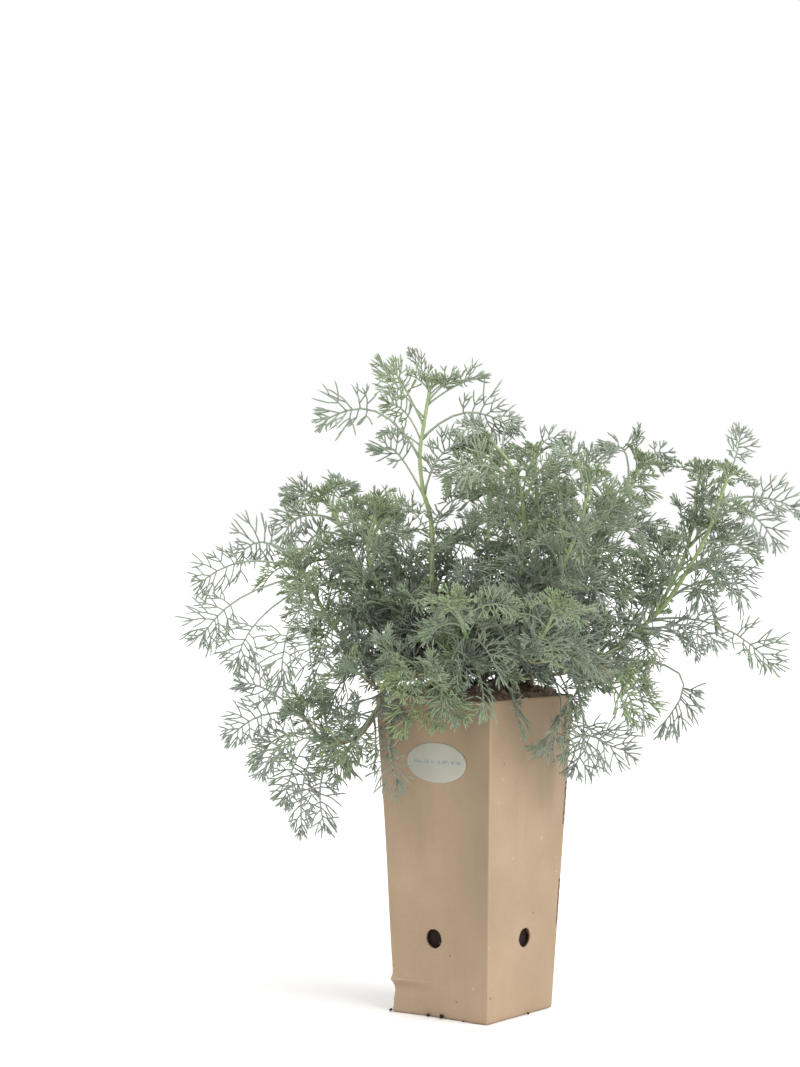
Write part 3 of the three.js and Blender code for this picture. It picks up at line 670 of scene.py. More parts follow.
def curve_through(points, steps):
    """A smooth line through the points, as many small steps between each two as asked."""
    points = np.asarray(points, float)
    padded = np.vstack([2 * points[0] - points[1], points, 2 * points[-1] - points[-2]])
    line = []
    for i in range(1, len(padded) - 2):
        before, start, end, after = padded[i - 1:i + 3]
        for step in range(steps):
            t = step / steps
            line.append(0.5 * (2 * start + (end - before) * t
                               + (2 * before - 5 * start + 4 * end - after) * t ** 2
                               + (3 * start - before - 3 * end + after) * t ** 3))
    line.append(points[-1])
    return np.array(line)


def route_lengths(route):
    return np.concatenate([[0], np.cumsum(np.linalg.norm(np.diff(route, axis=0), axis=1))])


def point_along(route, share):
    lengths = route_lengths(route)
    wanted = share * lengths[-1]
    i = 1
    while i < len(route) - 1 and lengths[i] < wanted:
        i += 1
    step = (wanted - lengths[i - 1]) / (lengths[i] - lengths[i - 1])
    return route[i - 1] + (route[i] - route[i - 1]) * step, unit(route[i] - route[i - 1])


def any_sideways(direction):
    reference = [0, 0, 1] if abs(direction[2]) < 0.9 else [1, 0, 0]
    return unit(np.cross(direction, reference))


def outwards(direction, turn):
    """A way square to the direction, turned about it."""
    side = any_sideways(direction)
    return side * math.cos(turn) + np.cross(direction, side) * math.sin(turn)


def shoot_routes(shoot):
    upright = [pot_frame([*shoot["foot"], height]) for height in UPRIGHT_HEIGHTS]
    main = np.array(upright + [pot_frame(point) for point in shoot["route"]])
    if not shoot["branch"]:
        return [main]
    start = point_along(main, shoot["branch"]["leaves_at"])[0]
    return [main, np.array([start] + [pot_frame(point) for point in shoot["branch"]["route"]])]


# The part's own leaves

def random_source(seed):
    """The part's own repeatable draws between 0 and 1."""
    state = seed & 0xFFFFFFFF

    def draw():
        nonlocal state
        state = (state * 1664525 + 1013904223) & 0xFFFFFFFF
        return state / 4294967296
    return draw


def set_leaf(point, direction, turn, length, lift, droop, arch, roll):
    """A leaf set by how steeply it leaves the stem, how far its tip drops and which way its middle arches."""
    heading = outwards(direction, turn) * math.cos(lift) + direction * math.sin(lift)
    tip = point + heading * length
    tip[2] -= droop * length
    return point, (point + tip) / 2 + arch * length, tip, roll, "free"


def part_leaves(shoot, routes, draw):
    """The leaves that the part itself has on this shoot, each as base, middle, tip, roll and opening."""
    leaves = []
    for share, middle, tip, *opening in shoot["single_leaves"]:
        base = point_along(routes[0], share)[0]
        roll = (draw() - 0.5) * LEAF_ROLL
        leaves.append((base, pot_frame(middle), pot_frame(tip), roll, opening[0] if opening else "open"))
    runs = [(routes[0], shoot["leaf_count"], shoot["first_leaf"])]
    if shoot["branch"]:
        runs.append((routes[1], shoot["branch"]["leaf_count"], BRANCH_FIRST_LEAF))
    for route, count, first in runs:
        start = 360 * draw()
        for i in range(count):
            share = first + (LAST_LEAF - first) * i / (count - 1)
            length = shoot["leaf_length"] * (0.8 + 0.35 * draw()) * (1 - TIP_SHORTENING * share)
            leaves.append(set_leaf(
                *point_along(route, share), math.radians(start + i * GOLDEN_ANGLE), length,
                math.radians(20 + 40 * draw()), 0.1 + 0.25 * draw(), UP * (0.12 + 0.1 * draw()),
                (draw() - 0.5) * LEAF_ROLL,
            ))
    return leaves


# Leaves

def soil_height(x, y):
    half = pot_half_width(SOIL_EDGE_HEIGHT)
    flatness = np.maximum(0, (1 - (x / half) ** 6)) * np.maximum(0, (1 - (y / half) ** 6))
    lumps = LUMP_HEIGHT * np.sin(x * 0.41 + 1) * np.sin(y * 0.37 + 2)
    return SOIL_EDGE_HEIGHT + flatness * (SOIL_MOUND + lumps)


def seen_by_camera(points):
    """Where points show in the plane through the pot's middle, as right and up."""
    right = points[:, 0] * math.cos(VIEW_TURN) + points[:, 1] * math.sin(VIEW_TURN)
    near = points[:, 0] * math.sin(VIEW_TURN) - points[:, 1] * math.cos(VIEW_TURN)
    enlarged = CAMERA_DISTANCE / (CAMERA_DISTANCE - near)
    shown_right = (right + CAMERA_ASIDE) * enlarged - CAMERA_ASIDE
    return shown_right, (points[:, 2] - CAMERA_HEIGHT) * enlarged + CAMERA_HEIGHT


def leaf_form(length, opening):
    if opening == "compact":
        return COMPACT_LEAFLETS, LARGE_FORKS
    if length > LARGE_LEAF:
        return LARGE_LEAFLETS, LARGE_FORKS
    if length > SMALL_LEAF:
        return MEDIUM_LEAFLETS, MEDIUM_FORKS
    return SMALL_LEAFLETS, SMALL_FORKS


def leaf_side(leaf):
    """The way across a leaf's rib in its own plane. An open leaf turns its face to the front of the clump."""
    base, middle, tip, roll, opening = leaf
    left = np.cross(middle - base, tip - middle)
    if np.linalg.norm(left) < 1e-3 or np.linalg.norm(tip - base) < 1e-3:
        return None
    if opening == "outer":
        return unit(left)
    left = turned(unit(left), unit(tip - base), roll)
    if opening in ("open", "compact"):
        across_view = unit(np.cross(tip - base, [-math.sin(VIEW_TURN), math.cos(VIEW_TURN), 0]))
        left = unit(OWN_FACING * left + across_view * math.copysign(FRONT_FACING, left @ across_view))
    return left


def leaf_rib(base, middle, tip):
    """A leaf's rib: where it is at any shares of its length, and which way it points there."""
    control = 2 * middle - (base + tip) / 2

    def rib(share):
        share = np.asarray(share)[:, None]
        return (1 - share) ** 2 * base + 2 * (1 - share) * share * control + share ** 2 * tip

    def heading(share):
        share = np.asarray(share)[:, None]
        return unit((1 - share) * (control - base) + share * (tip - control))
    return rib, heading


class Spray:
    """A leafy stem in the making, with its own random draws and the limits that its loose leaves keep to."""

    def __init__(self, seed, lowest, roofed):
        self.tubes = Tubes()
        self.rng = np.random.default_rng(seed)
        self.lowest = lowest
        self.roofed = roofed

    def between(self, limits, count=None):
        return self.rng.uniform(*limits, count)

    def is_clear(self, points):
        """Whether points stay above the lowest height, outside the pot and the soil and in the whole model's
        room, and on a roofed stem also under the clump's roof and out of its gaps."""
        low = np.array(CAD_BOX[0]) / MM - BOX_ALLOWANCE
        high = np.array(CAD_BOX[1]) / MM + BOX_ALLOWANCE
        if points[:, 2].min() < self.lowest or not np.all((points > low) & (points < high)):
            return False
        if self.roofed:
            right, up = seen_by_camera(points)
            if np.any(up > np.interp(right, *np.transpose(ROOF))):
                return False
            if any(np.hypot(right - aside, up - height).min() < radius for aside, height, radius in GAPS):
                return False
        sideways = np.maximum(np.abs(points[:, 0]), np.abs(points[:, 1]))
        beside = sideways - pot_half_width(np.minimum(points[:, 2], POT_HEIGHT))
        above = points[:, 2] - (SOIL_EDGE_HEIGHT + SOIL_MOUND)
        return bool(np.all(np.maximum(beside, above) > POT_ALLOWANCE))

    def grow_stem(self, route, foot_radius):
        """A stem along a smooth route, a little swollen where leaves stand."""
        lengths = route_lengths(route)
        share = lengths / lengths[-1]
        swelling = 1 + 0.1 * np.sin(lengths * 0.9 + self.rng.uniform(0, 6))
        swelling = swelling + self.rng.uniform(-0.04, 0.04, len(route))
        radii = (foot_radius + (STEM_TIP_RADIUS - foot_radius) * share ** 0.8) * swelling
        tone = self.rng.uniform(0, 1)
        self.tubes.add([route], radii, STEM_SIDES, 0, STEM_YOUTH, tone, share, pointed=False)

    def bent_threads(self, starts, headings, courses, lengths):
        """Threads that leave along their headings and bend towards the courses of what they fork from."""
        first, second, third = THREAD_PARTS
        knees = starts + headings * first * lengths
        after = headings + THREAD_BENDS[0] * courses
        after = unit(after + self.rng.normal(0, THREAD_WOBBLE[0], starts.shape))
        elbows = knees + after * second * lengths
        onward = after + THREAD_BENDS[1] * courses
        onward = unit(onward + self.rng.normal(0, THREAD_WOBBLE[1], starts.shape))
        return np.stack([starts, knees, elbows, elbows + onward * third * lengths], axis=1)

    def forked_off(self, leaflets, reach, forks, plane):
        """Threads that fork off both sides of the leaflets in about their plane, as starts, headings, courses
        and lengths."""
        first, second, _ = THREAD_PARTS
        count = len(leaflets)
        lower = leaflets[:, 1] - leaflets[:, 0]
        upper = leaflets[:, 2] - leaflets[:, 1]
        threads = []
        for share, beside, opened in forks:
            share = (share + self.rng.uniform(-FORK_SHIFT, FORK_SHIFT, count))[:, None]
            on_lower = leaflets[:, 0] + lower * share / first
            there = np.where(share < first, on_lower, leaflets[:, 1] + upper * (share - first) / second)
            onward = unit(np.where(share < first, lower, upper))
            flank = unit(np.cross(onward, plane))
            for side in (1, -1):
                grows = self.rng.uniform(0, 1, count) < FORK_SHARE
                angle = np.radians(opened + self.rng.uniform(-FORK_TURN, FORK_TURN, count))[:, None]
                heading = onward * np.cos(angle) + side * flank * np.sin(angle)
                lengths = reach * beside * self.between(FORK_LENGTHS, reach.shape)
                threads.append([part[grows] for part in (there, heading, onward, lengths)])
            plane = unit(plane + self.rng.normal(0, PLANE_WOBBLE, plane.shape))
        return threads

    def grow_leaf(self, leaf, youth, loose=False, silver=0.0):
        """One leaf: a bare stalk, then pairs of leaflets that fan out to its upper side, each forking into
        threads. A loose leaf is grown only where all of it is clear."""
        base, middle, tip, _, opening = leaf
        left = leaf_side(leaf)
        if left is None:
            return False
        rib, heading = leaf_rib(base, middle, tip)
        length = np.linalg.norm(middle - base) + np.linalg.norm(tip - middle)
        blade = min(length, COMPACT_BLADE if opening == "compact" else LONGEST_BLADE)
        pairs, forks = leaf_form(length, opening)
        stands, long, apart = np.repeat(np.transpose(pairs), 2, axis=1)
        count = len(stands)
        along = 1 - (1 - stands + self.rng.uniform(-LEAFLET_SHIFT, LEAFLET_SHIFT, count)) * blade / length
        reach = (long * blade * self.between(LEAFLET_LENGTHS, count))[:, None]
        spread = np.radians(apart + self.rng.uniform(-LEAFLET_TURN, LEAFLET_TURN, count))
        hand = np.tile([1, -1], len(pairs))
        lift = self.between(LEAF_FOLDS[opening]) + self.rng.normal(0, LEAFLET_TILT, count)
        forward = heading(along)
        upper = unit(np.cross(forward, left))
        outward = unit(left - forward * np.sum(forward * left, axis=1, keepdims=True))
        across = outward * (hand * np.cos(lift))[:, None] + upper * np.sin(lift)[:, None]
        course = forward * np.cos(spread)[:, None] + across * np.sin(spread)[:, None]
        leaflets = self.bent_threads(rib(along), course, forward, reach)
        outline = np.vstack([rib([0.3, 0.5, 0.7, 0.85, 1.0]), leaflets[:, 1], leaflets[:, 3]])
        if loose and not self.is_clear(outline):
            return False

        tone = self.rng.uniform(0, 1) + silver
        size = (0.8 + min(length, 50) / 250) * THREAD_RADIUS
        if opening == "free":
            size = size * FREE_LEAF_THICKNESS
        self.tubes.add([rib(RIB_SHARES)], RIB_RADII * size, 4, 1, youth, tone, RIB_SHARES * 0.3)
        self.tubes.add(leaflets, LEAFLET_RADII * size, 3, 1, youth, tone, [0.3, 0.6, 0.9, 1.0])
        plane = unit(np.cross(forward, across) + self.rng.normal(0, PLANE_WOBBLE, upper.shape))
        threads = self.forked_off(leaflets, reach, forks, plane)
        ends = self.rng.uniform(0.9, 0.98, len(TIP_FAN))
        fanned = unit(heading(ends) + TIP_FAN * left + self.rng.normal(0, 0.12, (len(TIP_FAN), 3)))
        lengths = blade * self.between(TIP_LENGTHS, (len(TIP_FAN), 1))
        threads.append([rib(ends), fanned, heading(ends), lengths])
        tips = self.bent_threads(*(np.vstack(part) for part in zip(*threads)))
        self.tubes.add(tips, THREAD_RADII * size, 3, 1, youth, tone, [0.5, 0.7, 0.9, 1.0])
        return True

    def leafy_run(self, route, span, spacing, sizes, youths):
        """Leaves at the golden angle along a span of a route, their size and youth going from end to end."""
        length = route_lengths(route)[-1] * (span[1] - span[0])
        count = max(2, int(length / spacing))
        start = self.rng.uniform(0, 2 * math.pi)
        for i in range(count):
            part = (i + self.rng.uniform(0.1, 0.9)) / count
            point, direction = point_along(route, min(span[0] + (span[1] - span[0]) * part, 0.995))
            size = (sizes[0] + (sizes[1] - sizes[0]) * part) * self.between(LEAF_SIZES)
            youth = youths[0] + (youths[1] - youths[0]) * part ** 1.6 + self.rng.uniform(-0.1, 0.1)
            for attempt in range(LEAF_TRIES):
                turn = start + i * math.radians(GOLDEN_ANGLE) + attempt * TRY_TURN
                leaf = set_leaf(
                    point, direction, turn, size * TRY_SHRINK ** attempt,
                    math.radians(self.between(LEAF_LIFTS)), self.between(LEAF_DROOPS),
                    unit(direction + UP) * self.between(LEAF_ARCHES), self.between(LEAF_TURNS),
                )
                if self.grow_leaf(leaf, youth, loose=True):
                    break

    def leafy_tuft(self, point, direction, size, count):
        """Young leaves crowded round a shoot's tip, the inner ones short, upright and brightest."""
        for i in range(count):
            inner = i / count
            span = size * (1 - 0.4 * inner) * self.rng.uniform(0.85, 1.15)
            arch = unit(direction + UP) * self.rng.uniform(0.08, 0.24)
            leaf = set_leaf(
                point, direction, i * math.radians(GOLDEN_ANGLE), span, math.radians(20 + 52 * inner),
                self.rng.uniform(-0.1, 0.08), arch, self.rng.uniform(-0.6, 0.6),
            )
            self.grow_leaf(leaf, 0.6 + 0.4 * inner, loose=True)

    def side_shoots(self, route, span, spacing, reach, sizes):
        """Short leafy branches from the leaf axils."""
        count = int(route_lengths(route)[-1] * (span[1] - span[0]) / spacing)
        start = self.rng.uniform(0, 2 * math.pi)
        for i in range(count):
            share = span[0] + (span[1] - span[0]) * (i + self.rng.uniform(0.2, 0.8)) / count
            point, direction = point_along(route, share)
            for attempt in range(TWIG_TRIES):
                aside = outwards(direction, start + i * math.radians(GOLDEN_ANGLE) + attempt * TWIG_TURN)
                way = unit(aside * self.rng.uniform(0.7, 1.1) + direction * 0.8 + UP * 0.2)
                long = reach * self.between(TWIG_LENGTHS)
                sag = UP * self.rng.uniform(0.02, 0.18) * long
                middle = point + way * long * 0.5 - sag * 0.5
                branch = curve_through([point, middle, point + way * long + sag], 4)
                if self.is_clear(np.vstack([branch[3:], branch[-1:] + way * 12])):
                    self.grow_twig(branch, sizes)
                    break

    def grow_twig(self, branch, sizes):
        radii = np.linspace(*TWIG_RADII, len(branch))
        tone = self.rng.uniform(0, 1)
        self.tubes.add([branch], radii, TWIG_SIDES, 0, TWIG_YOUTH, tone, radii, pointed=False)
        self.leafy_run(branch, TWIG_LEAF_SPAN, TWIG_LEAF_SPACING, sizes, TWIG_LEAF_YOUTHS)
        self.leafy_tuft(branch[-1], unit(branch[-1] - branch[-3]), 0.5 * sizes[1] + 3, TWIG_TUFT_LEAVES)


def leafy_stem(number, shoot):
    dress = DRESSING | shoot["dressing"]
    routes = shoot_routes(shoot)
    spray = Spray(STEM_SEED + number, dress["lowest"], dress["roofed"])
    for leaf in part_leaves(shoot, routes, random_source(PLANT_SEED + number)):
        youth = spray.between(dress["leaf_youth"])
        spray.grow_leaf(leaf, youth, silver=0.0 if leaf[-1] == "free" else dress["silver"])
    for share, middle, tip in shoot["more_leaves"]:
        base = point_along(routes[0], share)[0]
        leaf = (base, pot_frame(middle), pot_frame(tip), spray.rng.uniform(-0.6, 0.6), "open")
        spray.grow_leaf(leaf, spray.rng.uniform(0.25, 0.8))
    for route, wears, share in zip(routes, (dress, dress | BRANCH_DRESSING), (1, BRANCH_RADIUS_SHARE)):
        smooth = curve_through(route, SMOOTH_STEPS)
        spray.grow_stem(smooth, share * shoot["radius"])
        sizes = (shoot["leaf_length"], wears["tip_leaf"])
        spray.leafy_run(smooth, (wears["first"], wears["last"]), wears["spacing"], sizes, STEM_LEAF_YOUTHS)
        spray.side_shoots(
            smooth, wears["twig_span"], wears["twig_spacing"], wears["twig_reach"], wears["twig_leaves"],
        )
        spray.leafy_tuft(smooth[-1], unit(smooth[-1] - smooth[-4]), wears["tuft"], TUFT_LEAVES)
        if wears["skirt"]:
            spray.leafy_run(smooth, SKIRT_SPAN, wears["skirt"], SKIRT_SIZES, SKIRT_YOUTHS)
    return spray.tubes.build(shoot["name"] + "_fine")


# Pot

def pot_outline():
    """The outline once round, wall by wall from the -Y one: each point's place beside the half width, its
    outward way, its wall, and how far along the wall it is, from -1 to 1."""
    points = []
    for wall in range(4):
        turn = wall * math.pi / 2
        to_side = np.array([[math.cos(turn), -math.sin(turn)], [math.sin(turn), math.cos(turn)]])
        for u in -1 + 2 * np.arange(WALL_STEPS + 1) / WALL_STEPS:
            points.append((to_side @ (u, -1), to_side @ (0, -1), wall, u))
        for step in range(1, FOLD_STEPS + 1):
            angle = math.pi / 2 * (step / (FOLD_STEPS + 1) - 1)
            points.append((to_side @ (1, -1), to_side @ (math.cos(angle), math.sin(angle)), wall, 1.0))
    return [np.array(column) for column in zip(*points)]


def wall_relief(wall, u, height):
    """How far a wall stands out of its plane: bowed by the soil, and creased where it was handled."""
    share = height / POT_HEIGHT
    relief = WALL_BOW * (1 - u ** 2) * math.sin(math.pi * min(1.0, share)) ** 0.7
    relief = relief + WALL_WAVE * np.sin(7 * u + 2.1 * wall) * math.sin(5 * share + wall)
    for dented, depth, aside, width, up, tall in DENTS:
        if dented == wall:
            relief = relief + depth * hump(u, aside, width) * hump(height, up, tall)
    if wall == 0:
        crease = LEFT_CREASE_HEIGHT + 5 * (u + 1) - 7 * (u + 1) ** 2
        fading = smooth_step(0.2, -0.9, u)
        relief = relief + CREASE_RIDGE * fading * hump(height, crease, 1.4)
        relief = relief - CREASE_VALLEY * fading * hump(height, crease - 5, 3.6)
        foot_crease = 0.8 + (height - 10) * 0.012
        relief = relief + smooth_step(24, 6, height) * hump(u, foot_crease, 0.05)
    if wall == 1:
        ripples = smooth_step(-0.9, 0.2, u) * np.sin(9.5 * u + 1.2)
        relief = relief + 0.5 * smooth_step(95, 195, height) * ripples
        relief = relief - 0.7 * smooth_step(110, 175, height) * hump(u, 0.45, 0.1)
    return relief * (1 - np.abs(u) ** 12)


def fold_relief(u, height):
    """The buckled spot low on the left fold and its frayed, flaring foot, fading along the two walls."""
    buckle = BUCKLE * math.exp(-(abs(height - LEFT_CREASE_HEIGHT) / 1.8) ** 1.3) - 0.8 * hump(height, 14, 4)
    fray = FRAYED_FOOT * hump(height, 1, 1.5)
    flare = 1.5 * smooth_step(130, 30, height) + smooth_step(16, 0, height)
    from_fold = 1 - np.abs(u)
    return (buckle + fray) * hump(from_fold, 0, 0.09) + flare * hump(from_fold, 0, 0.5)


def pot_ring(outline, height, inset):
    places, ways, walls, shares = outline
    radius = max(0.2, FOLD_RADIUS - 0.5 * inset)
    relief = np.zeros(len(walls))
    for wall in range(4):
        on_wall = walls == wall
        relief[on_wall] = wall_relief(wall, shares[on_wall], height)
    at_left_fold = ((walls == 3) & (shares > 0)) | ((walls == 0) & (shares < 0))
    relief[at_left_fold] += fold_relief(shares[at_left_fold], height)
    flat = places * (pot_half_width(height) - inset - radius) + ways * (radius + relief)[:, None]
    return np.column_stack([flat, np.full(len(flat), float(height))])


def square_ring(low, high, height):
    """A square of the pot's far right fold, between two distances from the middle along both X and Y."""
    return np.array([(low, low, height), (high, low, height), (high, high, height), (low, high, height)])


def drain_cutter(axis, aside):
    side = any_sideways(axis)
    other = np.cross(axis, side)
    angles = round_angles(40)
    ragged = (1 + 0.012 * np.sin(angles * 5) + 0.008 * np.sin(angles * 11))[:, None]
    circle = (side * np.cos(angles)[:, None] + other * np.sin(angles)[:, None]) * ragged * DRAIN_DIAMETER / 2
    middle = np.array([aside, 0, DRAIN_HEIGHT])
    return stacked_rings([middle + circle + axis * reach for reach in (-POT_TOP, POT_TOP)])


def slot_cutter(span):
    """A notch out of the fold between the +X and +Y walls, its inner edge a little torn."""
    rings = []
    for height in np.linspace(span[0], span[1], 12):
        torn = 0.2 * math.sin(height * 0.9) + 0.1 * math.sin(height * 2.3)
        inside = pot_half_width(height) - SLOT_DEPTH + torn
        rings.append(square_ring(inside, inside + 9, height))
    return stacked_rings(rings)


def slot_lining(span):
    """The torn inner layer of the board that shows in a slot, dark partly as torn board and partly as painted
    shade in the slot.
    """
    rings = []
    for height in np.linspace(span[0] - 1.2, span[1] + 1.2, 16):
        outside = pot_half_width(height) - 0.15 - 0.1 * math.sin(height * 1.3)
        rings.append(square_ring(outside - LINING_THICKNESS, outside, height))
    return stacked_rings(rings)


def cut_out(thing, shapes, cut_skin):
    """Takes the shapes out of the thing for good, and gives the cut faces their own material."""
    cutters = []
    for number, shape in enumerate(shapes):
        cutter = skinned_object(f"cutter_{number}", shape, cut_skin)
        cut = thing.modifiers.new(cutter.name, "BOOLEAN")
        cut.operation = "DIFFERENCE"
        cut.solver = "EXACT"
        cut.material_mode = "TRANSFER"
        cut.object = cutter
        cutters.append(cutter)
    seen = bpy.context.evaluated_depsgraph_get()
    thing_cut = bpy.data.meshes.new_from_object(thing.evaluated_get(seen))
    thing.modifiers.clear()
    thing.data = thing_cut
    for cutter in cutters:
        bpy.data.objects.remove(cutter)


def cardboard_pot(skin, cut_skin):
    outline = pot_outline()
    heights = np.linspace(0, POT_HEIGHT, HEIGHT_STEPS + 1)
    outer = [pot_ring(outline, 0, 0.9), pot_ring(outline, 0.3, 0.25)]
    outer += [pot_ring(outline, height, 0) for height in heights[1:-1]]
    outer += [pot_ring(outline, POT_HEIGHT - 0.3, 0), pot_ring(outline, POT_HEIGHT, 0.3)]
    inner = [pot_ring(outline, POT_HEIGHT, BOARD - 0.3), pot_ring(outline, POT_HEIGHT - 0.3, BOARD)]
    inner += [pot_ring(outline, height, BOARD) for height in heights[-2:1:-3]]
    inner += [pot_ring(outline, BOARD, BOARD)]
    round_rim = np.arange(len(outer[0]))
    for ring in outer[-2:] + inner[:2]:
        ring[:, 2] += 0.3 * np.sin(round_rim * 0.19) + 0.12 * np.sin(round_rim * 0.83) - 0.4
    pot = skinned_object("cardboard_pot_folded", stacked_rings(outer + inner), skin, cut_skin)
    drains = [drain_cutter(np.array([1.0, 0, 0]), 0), drain_cutter(np.array([0, 1.0, 0]), DRAIN_ASIDE)]
    cut_out(pot, [slot_cutter(span) for span in SLOT_SPANS] + drains, cut_skin)
    return pot


def glued_flap(skin):
    """The second layer of board inside the +X wall at its +Y fold."""
    rings = []
    for height in np.linspace(BOARD + 1, POT_HEIGHT - 1.2, 24):
        outer = pot_half_width(height) - BOARD - 0.1
        edge = outer - FLAP_WIDTH + 0.3 * math.sin(height * 0.31)
        inner = outer - BOARD * 0.8
        rings.append(np.array([(inner, edge, height), (outer, edge, height), (outer, outer, height),
                               (inner, outer, height)]))
    return skinned_object("glued_flap", stacked_rings(rings), skin, smooth=False)


def slot_linings(skin):
    # Their dark cut-board colour is partly painted shade in the slots.
    shape = joined([slot_lining(span) for span in SLOT_SPANS])
    return skinned_object("torn_slot_linings", shape, skin, smooth=False)


def plant_label(skin):
    """An oval sticker that follows the bowed wall, its edge rounded over and its ends lifting a little."""
    angles = round_angles(LABEL_SIDES)

    def ring(share, lift):
        from_middle = np.cos(angles) * LABEL_WIDTH / 2 * share
        across = from_middle + LABEL_ASIDE
        height = LABEL_CENTRE_HEIGHT + np.sin(angles) * LABEL_HEIGHT / 2 * share
        half = pot_half_width(height)
        bow = np.array([wall_relief(0, np.array([u]), h)[0] for u, h in zip(across / half, height)])
        curl = 0.15 * smooth_step(0.4, 1.0, np.abs(from_middle) / (LABEL_WIDTH / 2))
        return np.column_stack([across, -half - bow - lift - curl, height])

    top = [ring(share, LABEL_THICKNESS) for share in np.linspace(0.06, 0.985, LABEL_RINGS)]
    edge = [ring(1.0, 0.75 * LABEL_THICKNESS), ring(1.0, 0.1)]
    return skinned_object("plant_label_sticker", stacked_rings(top + edge + [ring(0.06, 0.1)]), skin)


# Soil

def lumpy(x, y):
    """Fine unevenness of the soil's top: a sum of waves at turned directions."""
    height = np.zeros_like(x)
    for i in range(9):
        turn = 2.4 * i
        size = 0.35 + 0.22 * i
        height += 0.55 / (1 + 0.5 * i) * np.sin(size * (x * math.cos(turn) + y * math.sin(turn)) + 1.7 * i)
    return height


def soil_block(skin):
    """The soil as one closed block: its uneven top, and its sides and floor close to the board."""
    inset = BOARD + CLEARANCE
    floor = BOARD + CLEARANCE
    across = np.linspace(-1, 1, SOIL_STEPS + 1)[:-1]
    side = np.ones(SOIL_STEPS)
    edge = np.concatenate([
        np.stack([across, -side], 1), np.stack([side, across], 1), np.stack([-across, side], 1),
        np.stack([-side, -across], 1),
    ])
    rings = [np.column_stack([edge * (pot_half_width(floor) - inset), np.full(len(edge), floor)])]
    for height in np.linspace(floor + 4, SOIL_EDGE_HEIGHT - 1, 30):
        half = pot_half_width(height) - inset
        rough = 0.5 * np.abs(lumpy(edge[:, 0] * half + height, edge[:, 1] * half - height))
        rings.append(np.column_stack([edge * (half - rough[:, None]), np.full(len(edge), height)]))
    for share in np.linspace(0.995, 0.03, SOIL_STEPS // 2):
        x, y = (edge * (pot_half_width(SOIL_EDGE_HEIGHT) - inset) * share).T
        fine = lumpy(x, y) * smooth_step(1.0, 0.9, share)
        rings.append(np.column_stack([x, y, soil_height(x, y) + fine - SOIL_SINK]))
    return skinned_object("potting_soil_loose", stacked_rings(rings), skin)


def soil_crumbs(skin, rng):
    """Clods of all sizes on the soil, each a dented ball, and a few that fell beside the pot."""
    ball = bmesh.new()
    bmesh.ops.create_icosphere(ball, subdivisions=2, radius=1)
    ball.verts.index_update()
    corners = np.array([corner.co for corner in ball.verts])
    faces = np.array([[corner.index for corner in face.verts] for face in ball.faces])
    ball.free()

    def clod(size, widest):
        dents = 1 + 0.3 * np.sin(corners @ rng.normal(0, 2.6, (3, 3))).sum(axis=1) / 2
        return corners * dents[:, None] * size * rng.uniform(0.7, widest, 3)

    clods = []
    reach = pot_half_width(SOIL_EDGE_HEIGHT) - BOARD - 4
    for _ in range(CRUMB_COUNT):
        x, y = rng.uniform(-reach, reach, 2)
        size = 0.8 + 2.6 * rng.random() ** 3
        top = soil_height(x, y) + lumpy(np.array([x]), np.array([y]))[0] - SOIL_SINK
        clods.append((clod(size, 1.2) + (x, y, top + 0.25 * size), faces))
    for x, y, size in FALLEN_CRUMBS:
        fallen = clod(size, 1.3)
        clods.append((fallen + (x, y, -fallen[:, 2].min()), faces))
    return skinned_object("soil_crumbs", joined(clods), skin)


def soil_fibres(skin, rng):
    """Coarse fibres and dry stalk bits lying on the soil, and pale roots behind the drain holes."""
    tubes = Tubes()
    reach = pot_half_width(SOIL_EDGE_HEIGHT) - BOARD - 5
    shares = np.linspace(-0.5, 0.5, 6)
    for _ in range(FIBRE_COUNT):
        x, y = rng.uniform(-reach, reach, 2)
        turn = rng.uniform(0, 2 * math.pi)
        span = rng.uniform(3, 12)
        bend = rng.uniform(-0.25, 0.25)
        aside = bend * shares ** 2
        xs = np.clip(x + span * (shares * math.cos(turn) - aside * math.sin(turn)), -reach, reach)
        ys = np.clip(y + span * (shares * math.sin(turn) + aside * math.cos(turn)), -reach, reach)
        line = np.column_stack([xs, ys, soil_height(xs, ys) + lumpy(xs, ys) + rng.uniform(-0.4, 0.7)])
        radius = rng.uniform(0.12, 0.42)
        tubes.add([line], radius, 4, 0, 0, rng.uniform(0, 1), 0.5, pointed=False)
    for axis in range(2):
        for side in (-1, 1):
            for _ in range(ROOTS_PER_HOLE):
                start = rng.uniform(-7, 7, 2)
                bends = np.cumsum(rng.normal(0, 2.4, (5, 2)), axis=0) + start
                line = np.zeros((5, 3))
                line[:, axis] = side * (pot_half_width(DRAIN_HEIGHT) - BOARD - CLEARANCE + 0.25)
                line[:, 1 - axis] = bends[:, 0]
                line[:, 2] = DRAIN_HEIGHT + bends[:, 1]
                tubes.add([curve_through(line, 3)], ROOT_RADIUS, 4, 0, 0, ROOT_TONE, 0.5, pointed=False)
    fibres = tubes.build("soil_fibres")
    fibres.data.materials.append(skin)
    return fibres


# Materials

def scaled(colour, share):
    return tuple(share * part for part in colour)


